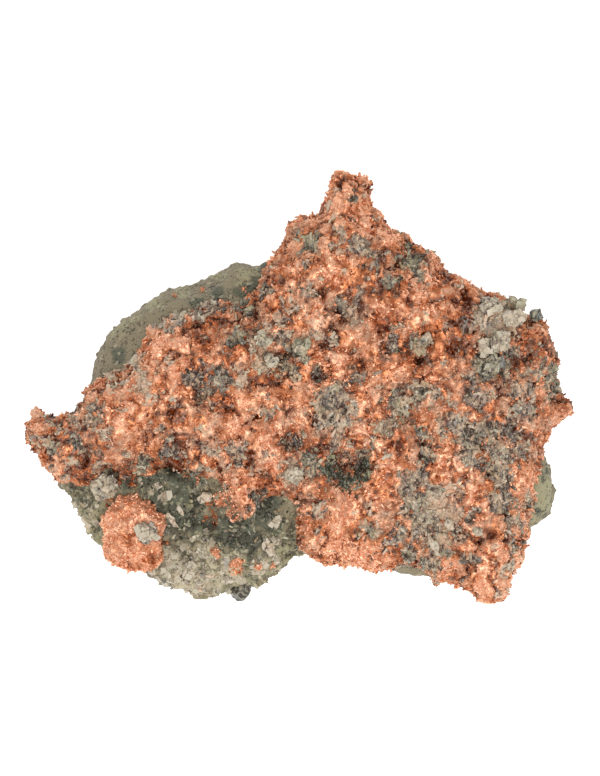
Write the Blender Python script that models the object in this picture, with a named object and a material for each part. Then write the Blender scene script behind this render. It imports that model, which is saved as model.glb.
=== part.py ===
"""Native copper specimen on its host rock: Blender 4.5, metres, +Z up.

A slab of altered basalt carries a hackly crust of native copper that overhangs the rock in a tower,
a spur and an arm. A separate copper boss, a few copper beads and pale vein-mineral grains sit on the
rock. The specimen lies on the broken face of the rock at z = 0. Sizes in this file are in millimetres
until MM turns them to metres.
"""

import math

import bmesh
import bpy
import numpy as np
from mathutils import Euler, Matrix, Vector, noise
from mathutils.bvhtree import BVHTree

MM = 0.001

# ---- Driving dimensions -----------------------------------------------------------------------------
GAP = 0.3  # clearance between pieces that touch
MERGE = 0.002  # points closer than this are one point

ROCK_CELL = 2.4  # facet size of the rock
ROCK_WAIST = 13.0  # height of the rock's widest line
ROCK_LIP = 1.6  # half height of the upright band at the waist
ROCK_TOP = 26.0  # height of the rock under the crust
ROCK_SHOULDER = 17.0  # how far in from the outline the rock reaches its full height
ROCK_KEEL = -7.0  # depth that the underside would reach before its base was broken flat
ROCK_KEEL_INSET = 32.0
ROCK_KEEL_POWER = 0.8
ROCK_BREAK_SHARE = 0.85  # how flat each break is: 1 would be a plane
ROCK_LUMP = 1.3  # relief of the weathered rock
ROCK_LUMP_PITCH = 9.0
ROCK_BASE_BAND = 0.85  # what lies lower than this is brought down to the floor
ROCK_FACES = 1900

CRUST_CELL = 1.7  # facet size of the copper before its knobs are fused on
CRUST_TRIM = 0.99  # plan size of the plain mass beside its outline, which the knobs then reach
CRUST_RIM_LOW = 19.0  # underside of the crust at its rim
CRUST_RIM_SWAY = 2.4  # how much that underside rises and falls along the rim
CRUST_RIM_SWAY_PITCH = 13.0
CRUST_RIM_HIGH = 23.5  # top of the crust at its rim
CRUST_TOP = 32.0  # general height of the crust
CRUST_SHOULDER = 9.0
CRUST_ROOT = 12.0  # how far down the crust reaches before the rock takes over
CRUST_ROOT_INSET = 13.0
CRUST_LUMP = 1.3  # relief of the crust between its named features
CRUST_LUMP_PITCH = 8.0
CRUST_PLAIN_RIM = 3.0  # knolls and hollows fade out over this much of the rim
CRUST_FACES = 4700

KNOB_COUNT = 640  # blunt copper knobs fused to the crust
KNOB_SIZES = (1.3, 2.8)
KNOB_STRETCH = (0.75, 1.3)
KNOB_HOLLOW_LOSS = 0.6  # share of its size that a knob at the bottom of a hollow loses
KNOB_SINK = 0.06  # share of its size by which a knob sits below the surface that it grows from
KNOB_LEAST_UP = -0.35  # knobs grow where the surface faces at least this much upwards
KNOB_CELL = 1.15

BOSS_LUMP = 0.12  # relief of the boss and beads, as a share of their size
BOSS_LUMP_PITCH = 4.0
BOSS_KNOBS = 70
BOSS_CELL = 0.8
BOSS_FACES = 420

GRAIN_RADIUS = 0.56  # of the unit prism that a grain is stretched from
GRAIN_TAPER = 0.74  # width of a grain's outer end beside its buried one
GRAIN_TILT = 0.22  # most that a grain leans each way, in radians

# ---- Plan outlines, clockwise from the top ----------------------------------------------------------
ROCK_OUTLINE = [
    (6.0, 31.0), (1.0, 30.0), (-3.4, 27.0), (-7.6, 24.4), (-12.0, 25.1), (-15.2, 24.0), (-19.6, 21.2),
    (-25.8, 19.6), (-31.6, 16.4), (-36.4, 13.2), (-39.2, 10.0), (-41.0, 5.2), (-41.8, 0.0),
    (-45.0, -6.4), (-50.0, -8.0), (-53.2, -9.6), (-53.8, -11.6), (-51.4, -16.0), (-47.4, -20.4),
    (-45.1, -23.6), (-42.8, -28.4), (-39.2, -33.2), (-32.4, -36.8), (-23.2, -40.6), (-20.2, -41.6),
    (-17.4, -41.4), (-14.4, -40.0), (-9.4, -39.6), (-5.2, -37.8), (-3.0, -35.4), (-1.2, -33.2),
    (4.0, -33.6), (12.0, -34.6), (20.4, -37.1), (25.2, -37.9), (29.6, -39.5), (35.0, -42.6),
    (38.0, -42.2), (41.0, -37.4), (44.4, -30.6), (47.6, -26.9), (49.6, -25.0), (50.5, -20.4),
    (49.6, -15.4), (48.0, -10.0), (49.8, -5.0), (51.2, 1.0), (50.9, 6.0), (48.6, 11.4), (42.0, 15.4),
    (34.0, 18.6), (29.0, 20.6), (22.0, 26.6), (13.0, 30.4),
]
CRUST_OUTLINE = [
    (10.4, 43.2), (7.4, 43.9), (5.6, 42.0), (5.0, 38.8), (4.6, 35.2), (-1.6, 34.0), (-3.0, 31.4),
    (-4.6, 27.6), (-6.6, 25.4), (-7.0, 22.6), (-8.2, 19.4), (-10.8, 16.8), (-14.0, 17.5),
    (-20.0, 17.0), (-25.0, 14.8), (-30.6, 11.8), (-33.0, 7.0), (-36.4, 4.0), (-42.2, 0.6),
    (-44.0, -2.6), (-46.4, -5.0), (-50.2, -6.0), (-52.0, -4.0), (-53.8, -4.4), (-53.7, -6.6),
    (-55.8, -8.6), (-54.4, -11.4), (-51.2, -15.2), (-48.4, -18.4), (-44.6, -20.2), (-41.6, -20.4),
    (-40.2, -17.6), (-37.6, -16.6), (-34.6, -18.6), (-31.0, -17.4), (-25.0, -17.8), (-19.6, -18.0),
    (-16.0, -19.6), (-15.2, -22.6), (-13.4, -24.6), (-9.6, -26.4), (-8.4, -24.4), (-9.6, -21.4),
    (-6.6, -21.2), (-1.6, -21.4), (-0.8, -24.0), (-1.0, -29.0), (-1.3, -32.6), (1.2, -33.7),
    (4.4, -35.5), (9.2, -36.0), (12.4, -35.7), (15.6, -37.2), (17.8, -35.9), (22.0, -36.3),
    (25.8, -37.0), (28.0, -39.2), (31.4, -39.3), (34.4, -40.3), (36.2, -42.4), (38.2, -43.4),
    (41.4, -41.4), (42.3, -38.0), (44.9, -34.6), (45.3, -31.6), (46.5, -29.4), (45.8, -27.2),
    (46.6, -24.0), (47.6, -19.6), (48.4, -16.4), (48.3, -10.9), (50.6, -8.8), (53.6, -6.4),
    (56.6, -4.3), (53.6, -1.4), (51.9, 2.0), (51.6, 6.8), (50.3, 11.0), (48.4, 14.0), (45.6, 13.8),
    (43.6, 16.4), (39.6, 18.4), (35.4, 20.2), (31.8, 23.0), (29.4, 21.9), (28.0, 25.2), (24.0, 28.7),
    (20.6, 31.0), (17.3, 32.7), (16.0, 36.2), (14.1, 38.0), (13.7, 42.3),
]

# ---- Relief of the crust: (x, y, radius, rise) ------------------------------------------------------
CRUST_KNOLLS = [
    (9.4, 38.0, 5.5, 1.5),  # tower
    (4.0, 24.0, 9.0, 2.6),  # below the tower
    (20.0, 23.0, 7.0, 2.2),
    (25.0, 13.5, 9.5, 4.2),  # bright swelling right of the middle
    (36.0, 8.0, 6.0, 1.6),
    (46.0, 2.0, 6.5, 1.8),
    (9.0, 6.0, 9.0, 3.4),  # middle
    (-14.0, 7.0, 9.0, 2.4),
    (-22.0, 2.0, 8.0, 2.4),
    (-31.0, -4.0, 9.0, 2.6),
    (-41.0, -10.0, 6.0, 1.0),
    (-8.0, -9.0, 9.0, 3.0),  # curved ridge
    (8.0, -27.0, 9.0, 2.6),  # lower swelling
    (22.0, -12.0, 7.0, 2.2),
    (34.0, -20.0, 7.0, 1.6),
    (39.0, -36.0, 8.0, 2.0),  # lower right corner
    (45.0, -14.0, 6.0, 1.2),
]
CRUST_HOLLOWS = [
    (-25.2, -15.6, 2.3, 7.0),  # round hole above the lower left rock
    (10.0, -15.6, 4.2, 5.0),  # green cup
    (-1.4, -10.8, 2.9, 4.2),
    (-3.8, 6.0, 2.6, 4.6),
    (3.6, 2.4, 2.2, 4.0),
    (11.6, 4.2, 2.6, 4.4),
    (20.0, -3.4, 4.6, 3.4),
    (8.0, -1.6, 3.4, 2.6),
    (24.4, 9.2, 3.0, 4.6),
    (-20.4, 12.8, 2.2, 4.0),
    (-19.8, -1.4, 2.2, 4.2),
    (8.4, 16.0, 2.0, 3.4),
    (16.0, 12.6, 2.0, 3.6),
    (22.4, 25.6, 3.0, 3.2),
    (-1.0, 27.0, 3.2, 2.2),
    (37.6, 5.0, 4.0, 2.8),
    (27.0, -23.0, 6.0, 2.8),
    (24.4, -12.8, 1.9, 4.0),
    (37.0, -29.6, 2.4, 4.2),
    (43.6, -29.4, 2.2, 3.6),
    (40.0, -23.0, 3.6, 2.4),
    (40.4, -17.0, 2.4, 3.4),
    (44.0, 5.8, 2.2, 3.6),
    (30.8, 17.6, 2.4, 2.8),
]

# ---- Flat breaks on the rock: (outward direction, distance from the waist's centre) -------------------
ROCK_CENTRE = (0.0, -3.0, ROCK_WAIST)
ROCK_BREAKS = [
    ((-0.62, 0.55, -0.56), 39.0),
    ((0.55, 0.62, -0.56), 37.0),
    ((0.85, -0.10, -0.52), 46.5),
    ((0.35, -0.78, -0.52), 34.0),
    ((-0.45, -0.72, -0.53), 36.5),
    ((-0.90, -0.05, -0.43), 46.0),
    ((-0.05, 0.80, -0.60), 30.0),
    ((-0.48, 0.74, 0.47), 34.4),
]

# ---- Copper boss and beads on the rock: (name, x, y, half length, half width, rise, heading) --------
BOSS = ("copper_boss", -33.0, -28.8, 7.2, 6.0, 6.6, 100.0)
BEADS = [
    ("copper_bead_1", -12.6, -34.6, 1.7, 1.4, 1.5, 20.0),
    ("copper_bead_2", -17.0, -32.8, 1.5, 1.1, 1.2, -50.0),
    ("copper_bead_3", -8.4, -35.6, 1.1, 0.9, 1.1, 0.0),
]

# ---- Vein-mineral grains: (name, x, y, length, width, rise over what it sits in, heading, sides) -----
GRAINS = [
    ("calcite_lath_1", -25.4, -26.4, 4.4, 1.9, 1.0, -58.0, 5),
    ("calcite_lath_2", -23.7, -24.6, 3.0, 1.6, 0.9, -62.0, 5),
    ("calcite_grain_1", -19.0, -21.9, 3.2, 2.3, 1.2, 12.0, 5),
    ("calcite_lath_3", -6.6, -31.6, 5.0, 2.4, 1.1, -70.0, 6),
    ("calcite_grain_2", -4.9, -26.6, 3.0, 2.4, 1.1, 35.0, 6),
    ("calcite_grain_3", -4.6, -30.4, 2.2, 2.4, 1.0, 80.0, 5),
    ("calcite_cluster", -39.0, -19.6, 5.2, 4.6, 1.8, 60.0, 7),
    ("calcite_in_boss", -30.3, -28.8, 4.6, 3.4, 1.3, 20.0, 7),
    ("calcite_blade_1", 26.8, -31.4, 6.4, 1.8, 1.5, -60.0, 5),
    ("calcite_blade_2", 29.9, -27.3, 2.8, 1.6, 1.5, -56.0, 5),
    ("calcite_grain_4", 35.3, -28.5, 2.4, 1.8, 1.5, 20.0, 5),
    ("calcite_lath_4", 24.6, 9.7, 3.8, 1.7, 1.5, 42.0, 6),
    ("quartz_grain_1", 42.2, 13.4, 4.8, 4.0, 2.0, 30.0, 6),
    ("quartz_grain_3", 36.6, 8.3, 3.2, 2.8, 1.6, 70.0, 5),
    ("quartz_grain_4", 39.6, 9.4, 4.2, 3.2, 1.8, 75.0, 6),
    ("quartz_grain_5", 37.8, 4.4, 5.6, 4.6, 1.8, 15.0, 7),
    ("quartz_grain_6", 37.8, 16.2, 3.4, 3.0, 1.8, 0.0, 6),
    ("prehnite_grain_1", -7.6, 9.6, 3.2, 2.4, 1.5, 60.0, 6),
    ("prehnite_grain_2", -6.2, 5.0, 3.0, 2.4, 1.5, 10.0, 6),
    ("prehnite_grain_3", 0.0, 8.0, 3.6, 2.8, 1.5, 30.0, 6),
    ("prehnite_grain_4", -0.8, -17.0, 3.2, 2.8, 1.4, 0.0, 6),
]
# The same for grains that are seated in an edge, each with the height of its outer end added.
EDGE_GRAINS = [
    ("quartz_grain_2", 42.0, 16.6, 5.4, 2.6, 1.8, -14.0, 6, 26.8),
    ("chlorite_point", 47.2, 14.3, 3.4, 2.6, 1.8, 70.0, 4, 26.8),
    ("chlorite_block", -12.2, -39.0, 5.4, 5.4, 2.9, 8.0, 4, 15.6),
]

# name start: (base colour, roughness, metallic)
FINISHES = {
    "host": ((0.19, 0.17, 0.11), 0.85, 0.0),
    "copper": ((0.79, 0.36, 0.20), 0.38, 1.0),
    "calcite": ((0.60, 0.56, 0.48), 0.45, 0.0),
    "quartz": ((0.48, 0.46, 0.39), 0.35, 0.0),
    "prehnite": ((0.42, 0.44, 0.36), 0.45, 0.0),
    "chlorite": ((0.10, 0.11, 0.07), 0.60, 0.0),
}


def clear_scene():
    for old in list(bpy.data.objects):
        bpy.data.objects.remove(old)


def material_for(name):
    """The finish that a piece's name starts with, as one shared material."""
    kind = name.split("_")[0]
    found = bpy.data.materials.get(kind)
    if found:
        return found
    colour, roughness, metallic = FINISHES[kind]
    made = bpy.data.materials.new(kind)
    made.use_nodes = True
    shader = made.node_tree.nodes["Principled BSDF"]
    shader.inputs["Base Color"].default_value = (*colour, 1.0)
    shader.inputs["Roughness"].default_value = roughness
    shader.inputs["Metallic"].default_value = metallic
    return made


def new_object(name, bm):
    """An object from a bmesh that is in millimetres."""
    mesh = bpy.data.meshes.new(name)
    bm.to_mesh(mesh)
    bm.free()
    made = bpy.data.objects.new(name, mesh)
    bpy.context.scene.collection.objects.link(made)
    return made


def bake_modifiers(piece):
    """Replaces a piece's mesh by what its modifiers make of it."""
    bpy.context.view_layer.update()
    graph = bpy.context.evaluated_depsgraph_get()
    mesh = bpy.data.meshes.new_from_object(piece.evaluated_get(graph))
    piece.modifiers.clear()
    piece.data = mesh


def remesh(piece, cell):
    modifier = piece.modifiers.new("Even facets", "REMESH")
    modifier.mode = "VOXEL"
    modifier.voxel_size = cell
    bake_modifiers(piece)


def decimate(piece, faces):
    """Thins a mesh to about this many triangles, which leaves uneven natural facets."""
    triangles = sum(len(face.vertices) - 2 for face in piece.data.polygons)
    if triangles > faces:
        modifier = piece.modifiers.new("Thin", "DECIMATE")
        modifier.ratio = faces / triangles
        bake_modifiers(piece)


def points_of(piece):
    points = np.empty(len(piece.data.vertices) * 3, np.float32)
    piece.data.vertices.foreach_get("co", points)
    return points.reshape(-1, 3).astype(float)


def set_points(piece, points):
    piece.data.vertices.foreach_set("co", points.astype(np.float32).ravel())
    piece.data.update()


def smooth_loop(corners, steps=3):
    """A closed curve through the corners, as a list of points (Catmull-Rom)."""
    loop = []
    count = len(corners)
    for i in range(count):
        before, start, end, after = (Vector(corners[(i + k) % count]) for k in (-1, 0, 1, 2))
        for step in range(steps):
            t = step / steps
            loop.append(
                0.5
                * (
                    2 * start
                    + (end - before) * t
                    + (2 * before - 5 * start + 4 * end - after) * t**2
                    + (3 * start - before - 3 * end + after) * t**3
                )
            )
    return loop


def slab(name, outline, low, high, cell):
    """An upright-sided block on a plan outline, in even facets."""
    bm = bmesh.new()
    floor = bm.faces.new([bm.verts.new((x, y, low)) for x, y in smooth_loop(outline)])
    raised = bmesh.ops.extrude_face_region(bm, geom=[floor])["geom"]
    bmesh.ops.translate(
        bm, vec=(0, 0, high - low), verts=[v for v in raised if isinstance(v, bmesh.types.BMVert)]
    )
    bmesh.ops.recalc_face_normals(bm, faces=bm.faces)
    block = new_object(name, bm)
    remesh(block, cell)
    return block


def inset_of(points, outline):
    """How far inside the plan outline each point is."""
    start = np.array(smooth_loop(outline))
    along = np.roll(start, -1, axis=0) - start
    offset = points[:, None, :2] - start
    share = np.clip((offset * along).sum(2) / (along**2).sum(1), 0, 1)
    return np.linalg.norm(offset - share[..., None] * along, axis=2).min(1)


def arch(inset, width):
    """A quarter-round rise from 0 at the rim to 1 at this width in."""
    return np.sqrt(1 - (1 - np.clip(inset / width, 0, 1)) ** 2)


def lumps(points, pitch, seed):
    """Smooth relief between -1 and 1 with features about this far apart."""
    shift = Vector((seed, 2.3 * seed, 3.7 * seed))
    return np.array([noise.noise(Vector(p) / pitch + shift) for p in points])


def bell(points, x, y, radius):
    """1 at (x, y), falling to about 0.1 at 1.5 radii."""
    return np.exp(-((points[:, 0] - x) ** 2 + (points[:, 1] - y) ** 2) / radius**2)


def grown(piece, name, by):
    """A copy of a piece with its surface moved out, for cutting its neighbours clear of it."""
    copy = piece.copy()
    copy.data = piece.data.copy()
    copy.name = name
    bpy.context.scene.collection.objects.link(copy)
    copy.hide_render = True
    copy.display_type = "WIRE"
    outward = np.empty(len(copy.data.vertices) * 3, np.float32)
    copy.data.vertices.foreach_get("normal", outward)
    set_points(copy, points_of(copy) + by * outward.reshape(-1, 3))
    return copy


def cut(piece, tool):
    """Takes the tool's shape out of the piece and keeps the largest body that is left."""
    modifier = piece.modifiers.new("Clear of " + tool.name, "BOOLEAN")
    modifier.operation = "DIFFERENCE"
    modifier.solver = "EXACT"
    modifier.object = tool
    bake_modifiers(piece)
    keep_largest(piece)


def keep_largest(piece):
    bm = bmesh.new()
    bm.from_mesh(piece.data)
    bmesh.ops.triangulate(bm, faces=bm.faces)
    bmesh.ops.remove_doubles(bm, verts=bm.verts, dist=MERGE)
    bmesh.ops.dissolve_degenerate(bm, edges=bm.edges, dist=MERGE)
    left = set(bm.verts)
    bodies = []
    while left:
        body = {left.pop()}
        edge_of_body = list(body)
        while edge_of_body:
            near = {e.other_vert(v) for v in edge_of_body for e in v.link_edges} & left
            left -= near
            body |= near
            edge_of_body = list(near)
        bodies.append(body)
    bodies.sort(key=len)
    crumbs = [v for body in bodies[:-1] for v in body]
    bmesh.ops.delete(bm, geom=crumbs, context="VERTS")
    bm.to_mesh(piece.data)
    bm.free()


def make_host_rock():
    """The rock: a rounded slab whose underside and flanks are broken to flat faces."""
    half = ROCK_WAIST
    rock = slab("host_rock", ROCK_OUTLINE, 0.0, 2 * half, ROCK_CELL)
    points = points_of(rock)
    inset = inset_of(points, ROCK_OUTLINE)
    upward = np.clip((points[:, 2] - half) / half, -1, 1)
    roof = ROCK_LIP + (ROCK_TOP - ROCK_WAIST - ROCK_LIP) * arch(inset, ROCK_SHOULDER)
    slope = np.clip(inset / ROCK_KEEL_INSET, 0, 1) ** ROCK_KEEL_POWER
    keel = ROCK_LIP + (ROCK_WAIST - ROCK_KEEL - ROCK_LIP) * slope
    points[:, 2] = ROCK_WAIST + upward * np.where(upward > 0, roof, keel)
    centre = np.array(ROCK_CENTRE)
    for direction, distance in ROCK_BREAKS:
        facing = np.array(direction) / np.linalg.norm(direction)
        beyond = np.clip((points - centre) @ facing - distance, 0, None)
        points -= ROCK_BREAK_SHARE * beyond[:, None] * facing
    relief = [lumps(points, ROCK_LUMP_PITCH, seed) for seed in (1, 2, 3)]
    points += ROCK_LUMP * np.stack(relief, axis=1)
    points[:, 2] = np.maximum(points[:, 2], 0.0)
    set_points(rock, points)
    return rock


def flatten_base(rock):
    """Puts everything near the floor exactly on it, so that the specimen rests on one face."""
    points = points_of(rock)
    low = points[:, 2] < ROCK_BASE_BAND
    points[low, 2] = 0.0
    set_points(rock, points)


def smooth_step(share):
    """0 to 1 with level ends."""
    share = np.clip(share, 0, 1)
    return share**2 * (3 - 2 * share)


def crust_top(points, inset):
    """Height of the crust's upper surface over the plan."""
    top = CRUST_RIM_HIGH + (CRUST_TOP - CRUST_RIM_HIGH) * arch(inset, CRUST_SHOULDER)
    share = arch(inset, CRUST_PLAIN_RIM)
    for x, y, radius, rise in CRUST_KNOLLS:
        top += share * rise * bell(points, x, y, radius)
    for x, y, radius, depth in CRUST_HOLLOWS:
        top -= share * depth * bell(points, x, y, radius)
    return top


def make_copper_crust():
    """The copper: a lumpy mass on its own plan outline, hollowed by pits, that will sit over the rock."""
    low, high = CRUST_RIM_LOW, CRUST_TOP
    crust = slab("copper_crust", CRUST_OUTLINE, low, high, CRUST_CELL)
    points = points_of(crust)
    inset = inset_of(points, CRUST_OUTLINE)
    share = np.clip((points[:, 2] - low) / (high - low), 0, 1)
    plan = points * np.array([1.0, 1.0, 0.0])
    rim = CRUST_RIM_LOW + CRUST_RIM_SWAY * lumps(plan, CRUST_RIM_SWAY_PITCH, 31)
    bottom = rim - (CRUST_RIM_LOW - CRUST_ROOT) * smooth_step(inset / CRUST_ROOT_INSET)
    swell = CRUST_LUMP * lumps(plan, CRUST_LUMP_PITCH, 11)
    points[:, 2] = bottom + share * (crust_top(points, inset) + swell - bottom)
    points[:, :2] *= CRUST_TRIM
    set_points(crust, points)
    remesh(crust, CRUST_CELL)
    return crust


def fuse_knobs(piece, count, cell):
    """Grows blunt, angular knobs on a piece's top and flanks and fuses them to it."""
    dice = np.random.default_rng(29)
    bm = bmesh.new()
    bm.from_mesh(piece.data)
    seats = [v for v in bm.verts if v.normal.z > KNOB_LEAST_UP]
    for pick in dice.choice(len(seats), count, replace=False):
        seat, outward = seats[pick].co, seats[pick].normal
        hollow = max(bell(np.array([seat]), x, y, r)[0] for x, y, r, _ in CRUST_HOLLOWS)
        size = float(dice.uniform(*KNOB_SIZES) * (1 - KNOB_HOLLOW_LOSS * hollow))
        turn = Euler(dice.uniform(0, math.tau, 3)).to_matrix().to_4x4()
        stretch = Matrix.Diagonal((*dice.uniform(*KNOB_STRETCH, 3), 1.0))
        place = Matrix.Translation(seat - KNOB_SINK * size * outward) @ turn @ stretch
        bmesh.ops.create_cube(bm, size=size, matrix=place)
    bm.to_mesh(piece.data)
    bm.free()
    remesh(piece, cell)


def surface_of(host):
    """A host's surface, for finding its height over a plan point."""
    return BVHTree.FromPolygons(
        [v.co for v in host.data.vertices], [p.vertices for p in host.data.polygons]
    )


def height_at(surfaces, x, y):
    """The height of the uppermost of these surfaces over a plan point."""
    hits = [surface.ray_cast(Vector((x, y, 100.0)), Vector((0, 0, -1)))[0] for surface in surfaces]
    return max(hit.z for hit in hits if hit)


def make_lump(rock_surface, name, x, y, half_length, half_width, rise, heading, divisions):
    """A rounded, uneven lump of copper that stands on the rock, half of it sunk in."""
    bm = bmesh.new()
    bmesh.ops.create_icosphere(bm, subdivisions=divisions, radius=1.0)
    bmesh.ops.scale(bm, vec=(half_length, half_width, rise), verts=bm.verts)
    bmesh.ops.rotate(bm, matrix=Matrix.Rotation(math.radians(heading), 3, "Z"), verts=bm.verts)
    lump = new_object(name, bm)
    points = points_of(lump)
    points *= 1 + BOSS_LUMP * lumps(points, BOSS_LUMP_PITCH, 21)[:, None]
    set_points(lump, points + np.array([x, y, height_at([rock_surface], x, y)]))
    return lump


def make_grain(name, x, y, length, width, rise, heading, sides, outer_end):
    """A blunt faceted grain: a slightly tilted prism of a few sides, half of it buried."""
    bm = bmesh.new()
    outer = GRAIN_RADIUS * GRAIN_TAPER
    bmesh.ops.create_cone(
        bm, cap_ends=True, segments=sides, radius1=GRAIN_RADIUS, radius2=outer, depth=1.0
    )
    bmesh.ops.scale(bm, vec=(length, width, 2 * rise), verts=bm.verts)
    lean = GRAIN_TILT * math.sin(7.1 * x + y)
    roll = GRAIN_TILT * math.cos(5.3 * y + x)
    tilt = Euler((lean, roll, math.radians(heading))).to_matrix()
    bmesh.ops.rotate(bm, matrix=tilt, verts=bm.verts)
    bmesh.ops.translate(bm, vec=(x, y, outer_end - rise), verts=bm.verts)
    return new_object(name, bm)


def finish(pieces):
    """Gives each piece its material, moves the base's centre to the origin and turns to metres."""
    corners = np.concatenate([points_of(piece) for piece in pieces])
    low, high = corners.min(0), corners.max(0)
    middle = Vector(((low[0] + high[0]) / 2, (low[1] + high[1]) / 2, low[2]))
    for piece in pieces:
        piece.data.transform(Matrix.Scale(MM, 4) @ Matrix.Translation(-middle))
        piece.data.materials.clear()
        piece.data.materials.append(material_for(piece.name))
        piece.data.shade_flat()
    print("base centre was at", [round(c, 3) for c in middle])


def main():
    clear_scene()
    rock = make_host_rock()
    decimate(rock, ROCK_FACES)
    flatten_base(rock)
    rock_clear = grown(rock, "rock_clearance", GAP)
    crust = make_copper_crust()
    fuse_knobs(crust, KNOB_COUNT, KNOB_CELL)
    decimate(crust, CRUST_FACES)
    cut(crust, rock_clear)
    crust_clear = grown(crust, "crust_clearance", GAP)

    rock_surface = surface_of(rock)
    boss = make_lump(rock_surface, *BOSS, divisions=4)
    fuse_knobs(boss, BOSS_KNOBS, BOSS_CELL)
    decimate(boss, BOSS_FACES)
    beads = [make_lump(rock_surface, *row, divisions=2) for row in BEADS]
    for lump in (boss, *beads):
        cut(lump, rock_clear)
        cut(lump, crust_clear)
    boss_clear = grown(boss, "boss_clearance", GAP)

    surfaces = [rock_surface, surface_of(crust), surface_of(boss)]
    grains = []
    for row in GRAINS:
        x, y, rise = row[1], row[2], row[5]
        grains.append(make_grain(*row, outer_end=height_at(surfaces, x, y) + rise))
    for row in EDGE_GRAINS:
        grains.append(make_grain(*row))
    clearances = (rock_clear, crust_clear, boss_clear)
    for grain in grains:
        for clearance in clearances:
            cut(grain, clearance)
    for clearance in clearances:
        bpy.data.objects.remove(clearance)
    finish([rock, crust, boss, *beads, *grains])


main()
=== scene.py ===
"""Native copper on its host rock, dressed for a close look. Blender 4.5, metres, +Z up.

The sections follow the specimen outwards: the host rock, the copper crust, the copper boss and beads,
the copper's fine points, the vein minerals between them, the crystals, and last the studio. Sizes and
places are in millimetres until MM turns them to metres. Lists of places run from left to right. In a
sum of patterns each term holds its height, its pitch and its seed.
"""

import bmesh
import bpy
import numpy as np
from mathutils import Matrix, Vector, noise


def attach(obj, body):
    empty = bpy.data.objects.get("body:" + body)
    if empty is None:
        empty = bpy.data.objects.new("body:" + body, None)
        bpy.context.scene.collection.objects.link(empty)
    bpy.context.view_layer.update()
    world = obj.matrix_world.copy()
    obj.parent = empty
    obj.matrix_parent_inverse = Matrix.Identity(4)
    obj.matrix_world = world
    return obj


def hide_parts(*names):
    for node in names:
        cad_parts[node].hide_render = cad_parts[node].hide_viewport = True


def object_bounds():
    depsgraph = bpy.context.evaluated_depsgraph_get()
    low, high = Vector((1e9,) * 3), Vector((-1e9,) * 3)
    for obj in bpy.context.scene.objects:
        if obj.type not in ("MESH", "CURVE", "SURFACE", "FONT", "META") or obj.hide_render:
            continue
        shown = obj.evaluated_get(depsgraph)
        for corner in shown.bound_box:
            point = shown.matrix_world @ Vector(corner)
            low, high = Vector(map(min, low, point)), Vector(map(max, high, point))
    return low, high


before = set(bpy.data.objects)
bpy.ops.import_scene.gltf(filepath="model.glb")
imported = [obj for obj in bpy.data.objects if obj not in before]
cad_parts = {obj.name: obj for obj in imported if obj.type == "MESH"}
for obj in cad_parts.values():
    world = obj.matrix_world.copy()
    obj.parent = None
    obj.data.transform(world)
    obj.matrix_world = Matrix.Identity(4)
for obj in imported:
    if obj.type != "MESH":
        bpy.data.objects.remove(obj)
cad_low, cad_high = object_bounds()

# ---- Host rock --------------------------------------------------------------------------------------
# Altered basalt, the grey-green lava that the copper grew in. It is weathered smooth on the shoulder,
# rough and stained green by chlorite beside the copper, and broken to plain faces underneath. The
# solid's shape is remeshed in small facets, and its relief and its few holes are worked into them.
MM = 0.001
ROCK_CELL = 0.45  # facet size
ROCK_ROUNDING = 6  # passes that take the solid's facets off
BLOCK, CHIP, GRIT = 5.5, 2.2, 1.1  # widths of what the rock breaks into, coarse to fine
FELDSPAR = 0.9  # width of the rock's pale grains
DUST_SPECK = 0.7
MOTTLE = 3.2  # width of its weathered patches
FLECK = 0.45  # its finest grain, drawn some four times too coarse so that it shows
# (x, y, radius): where the rock is rough, stained dark green, olive, or cream with feldspar
ROUGH_ROCK = [(-31.0, -27.0, 13.0), (-15.0, -31.0, 14.0), (-40.0, -20.0, 8.0), (-4.0, -28.0, 8.0)]
GREEN_ROCK = [
    (-36.0, 6.2, 1.6), (-33.6, -19.0, 1.8), (-29.6, -18.6, 3.4), (-26.6, -24.2, 5.0),
    (-25.0, -17.6, 2.2), (-22.6, -20.6, 4.0), (-21.4, -19.4, 2.6), (-21.0, -27.0, 3.0),
    (-20.4, 16.4, 1.4), (-17.6, -27.8, 1.6), (-16.0, 18.2, 1.6), (-14.0, -28.6, 3.0),
    (-13.4, -30.8, 2.6), (-12.0, 18.8, 1.8), (-11.6, -30.2, 4.4), (-9.4, -33.0, 2.0), (-9.0, 19.6, 2.6),
    (-7.2, -23.6, 4.6), (-5.0, -27.0, 3.0), (-5.0, 24.0, 2.6), (48.0, -24.4, 1.3), (49.8, -17.0, 1.2),
]
OLIVE_ROCK = [
    (-42.0, -24.6, 6.0), (-39.0, -30.0, 4.0), (-36.6, 12.4, 2.6), (-33.0, 14.0, 1.8),
    (-30.4, 17.6, 2.8), (-23.6, 20.6, 2.8), (-17.4, -30.2, 2.4), (-16.6, 22.6, 2.4),
    (-11.6, -37.6, 6.5), (-10.0, 22.4, 3.0), (-4.6, -36.6, 4.5), (-2.4, -32.6, 3.0), (50.0, -22.0, 8.0),
]
CREAM_ROCK = [
    (-42.6, -28.0, 1.6), (-42.2, -23.6, 1.4), (-31.8, -19.2, 0.8), (-29.4, -20.8, 0.9),
    (-27.2, -22.4, 1.0), (-26.6, -34.4, 3.0), (-23.0, -36.6, 4.6), (-20.4, -20.2, 0.8),
    (-19.0, -38.6, 3.4), (-18.6, -33.0, 2.4), (-14.0, -37.0, 3.0), (-12.6, -34.4, 1.2),
    (-7.4, -36.0, 1.8), (-5.0, -33.6, 1.2),
]
# (x, y, radius, depth) of the holes in the rock
ROCK_HOLES = [(-25.0, -15.8, 1.5, 3.4), (-17.4, -28.0, 1.1, 1.6), (-0.6, -33.4, 1.0, 1.2)]
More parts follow.
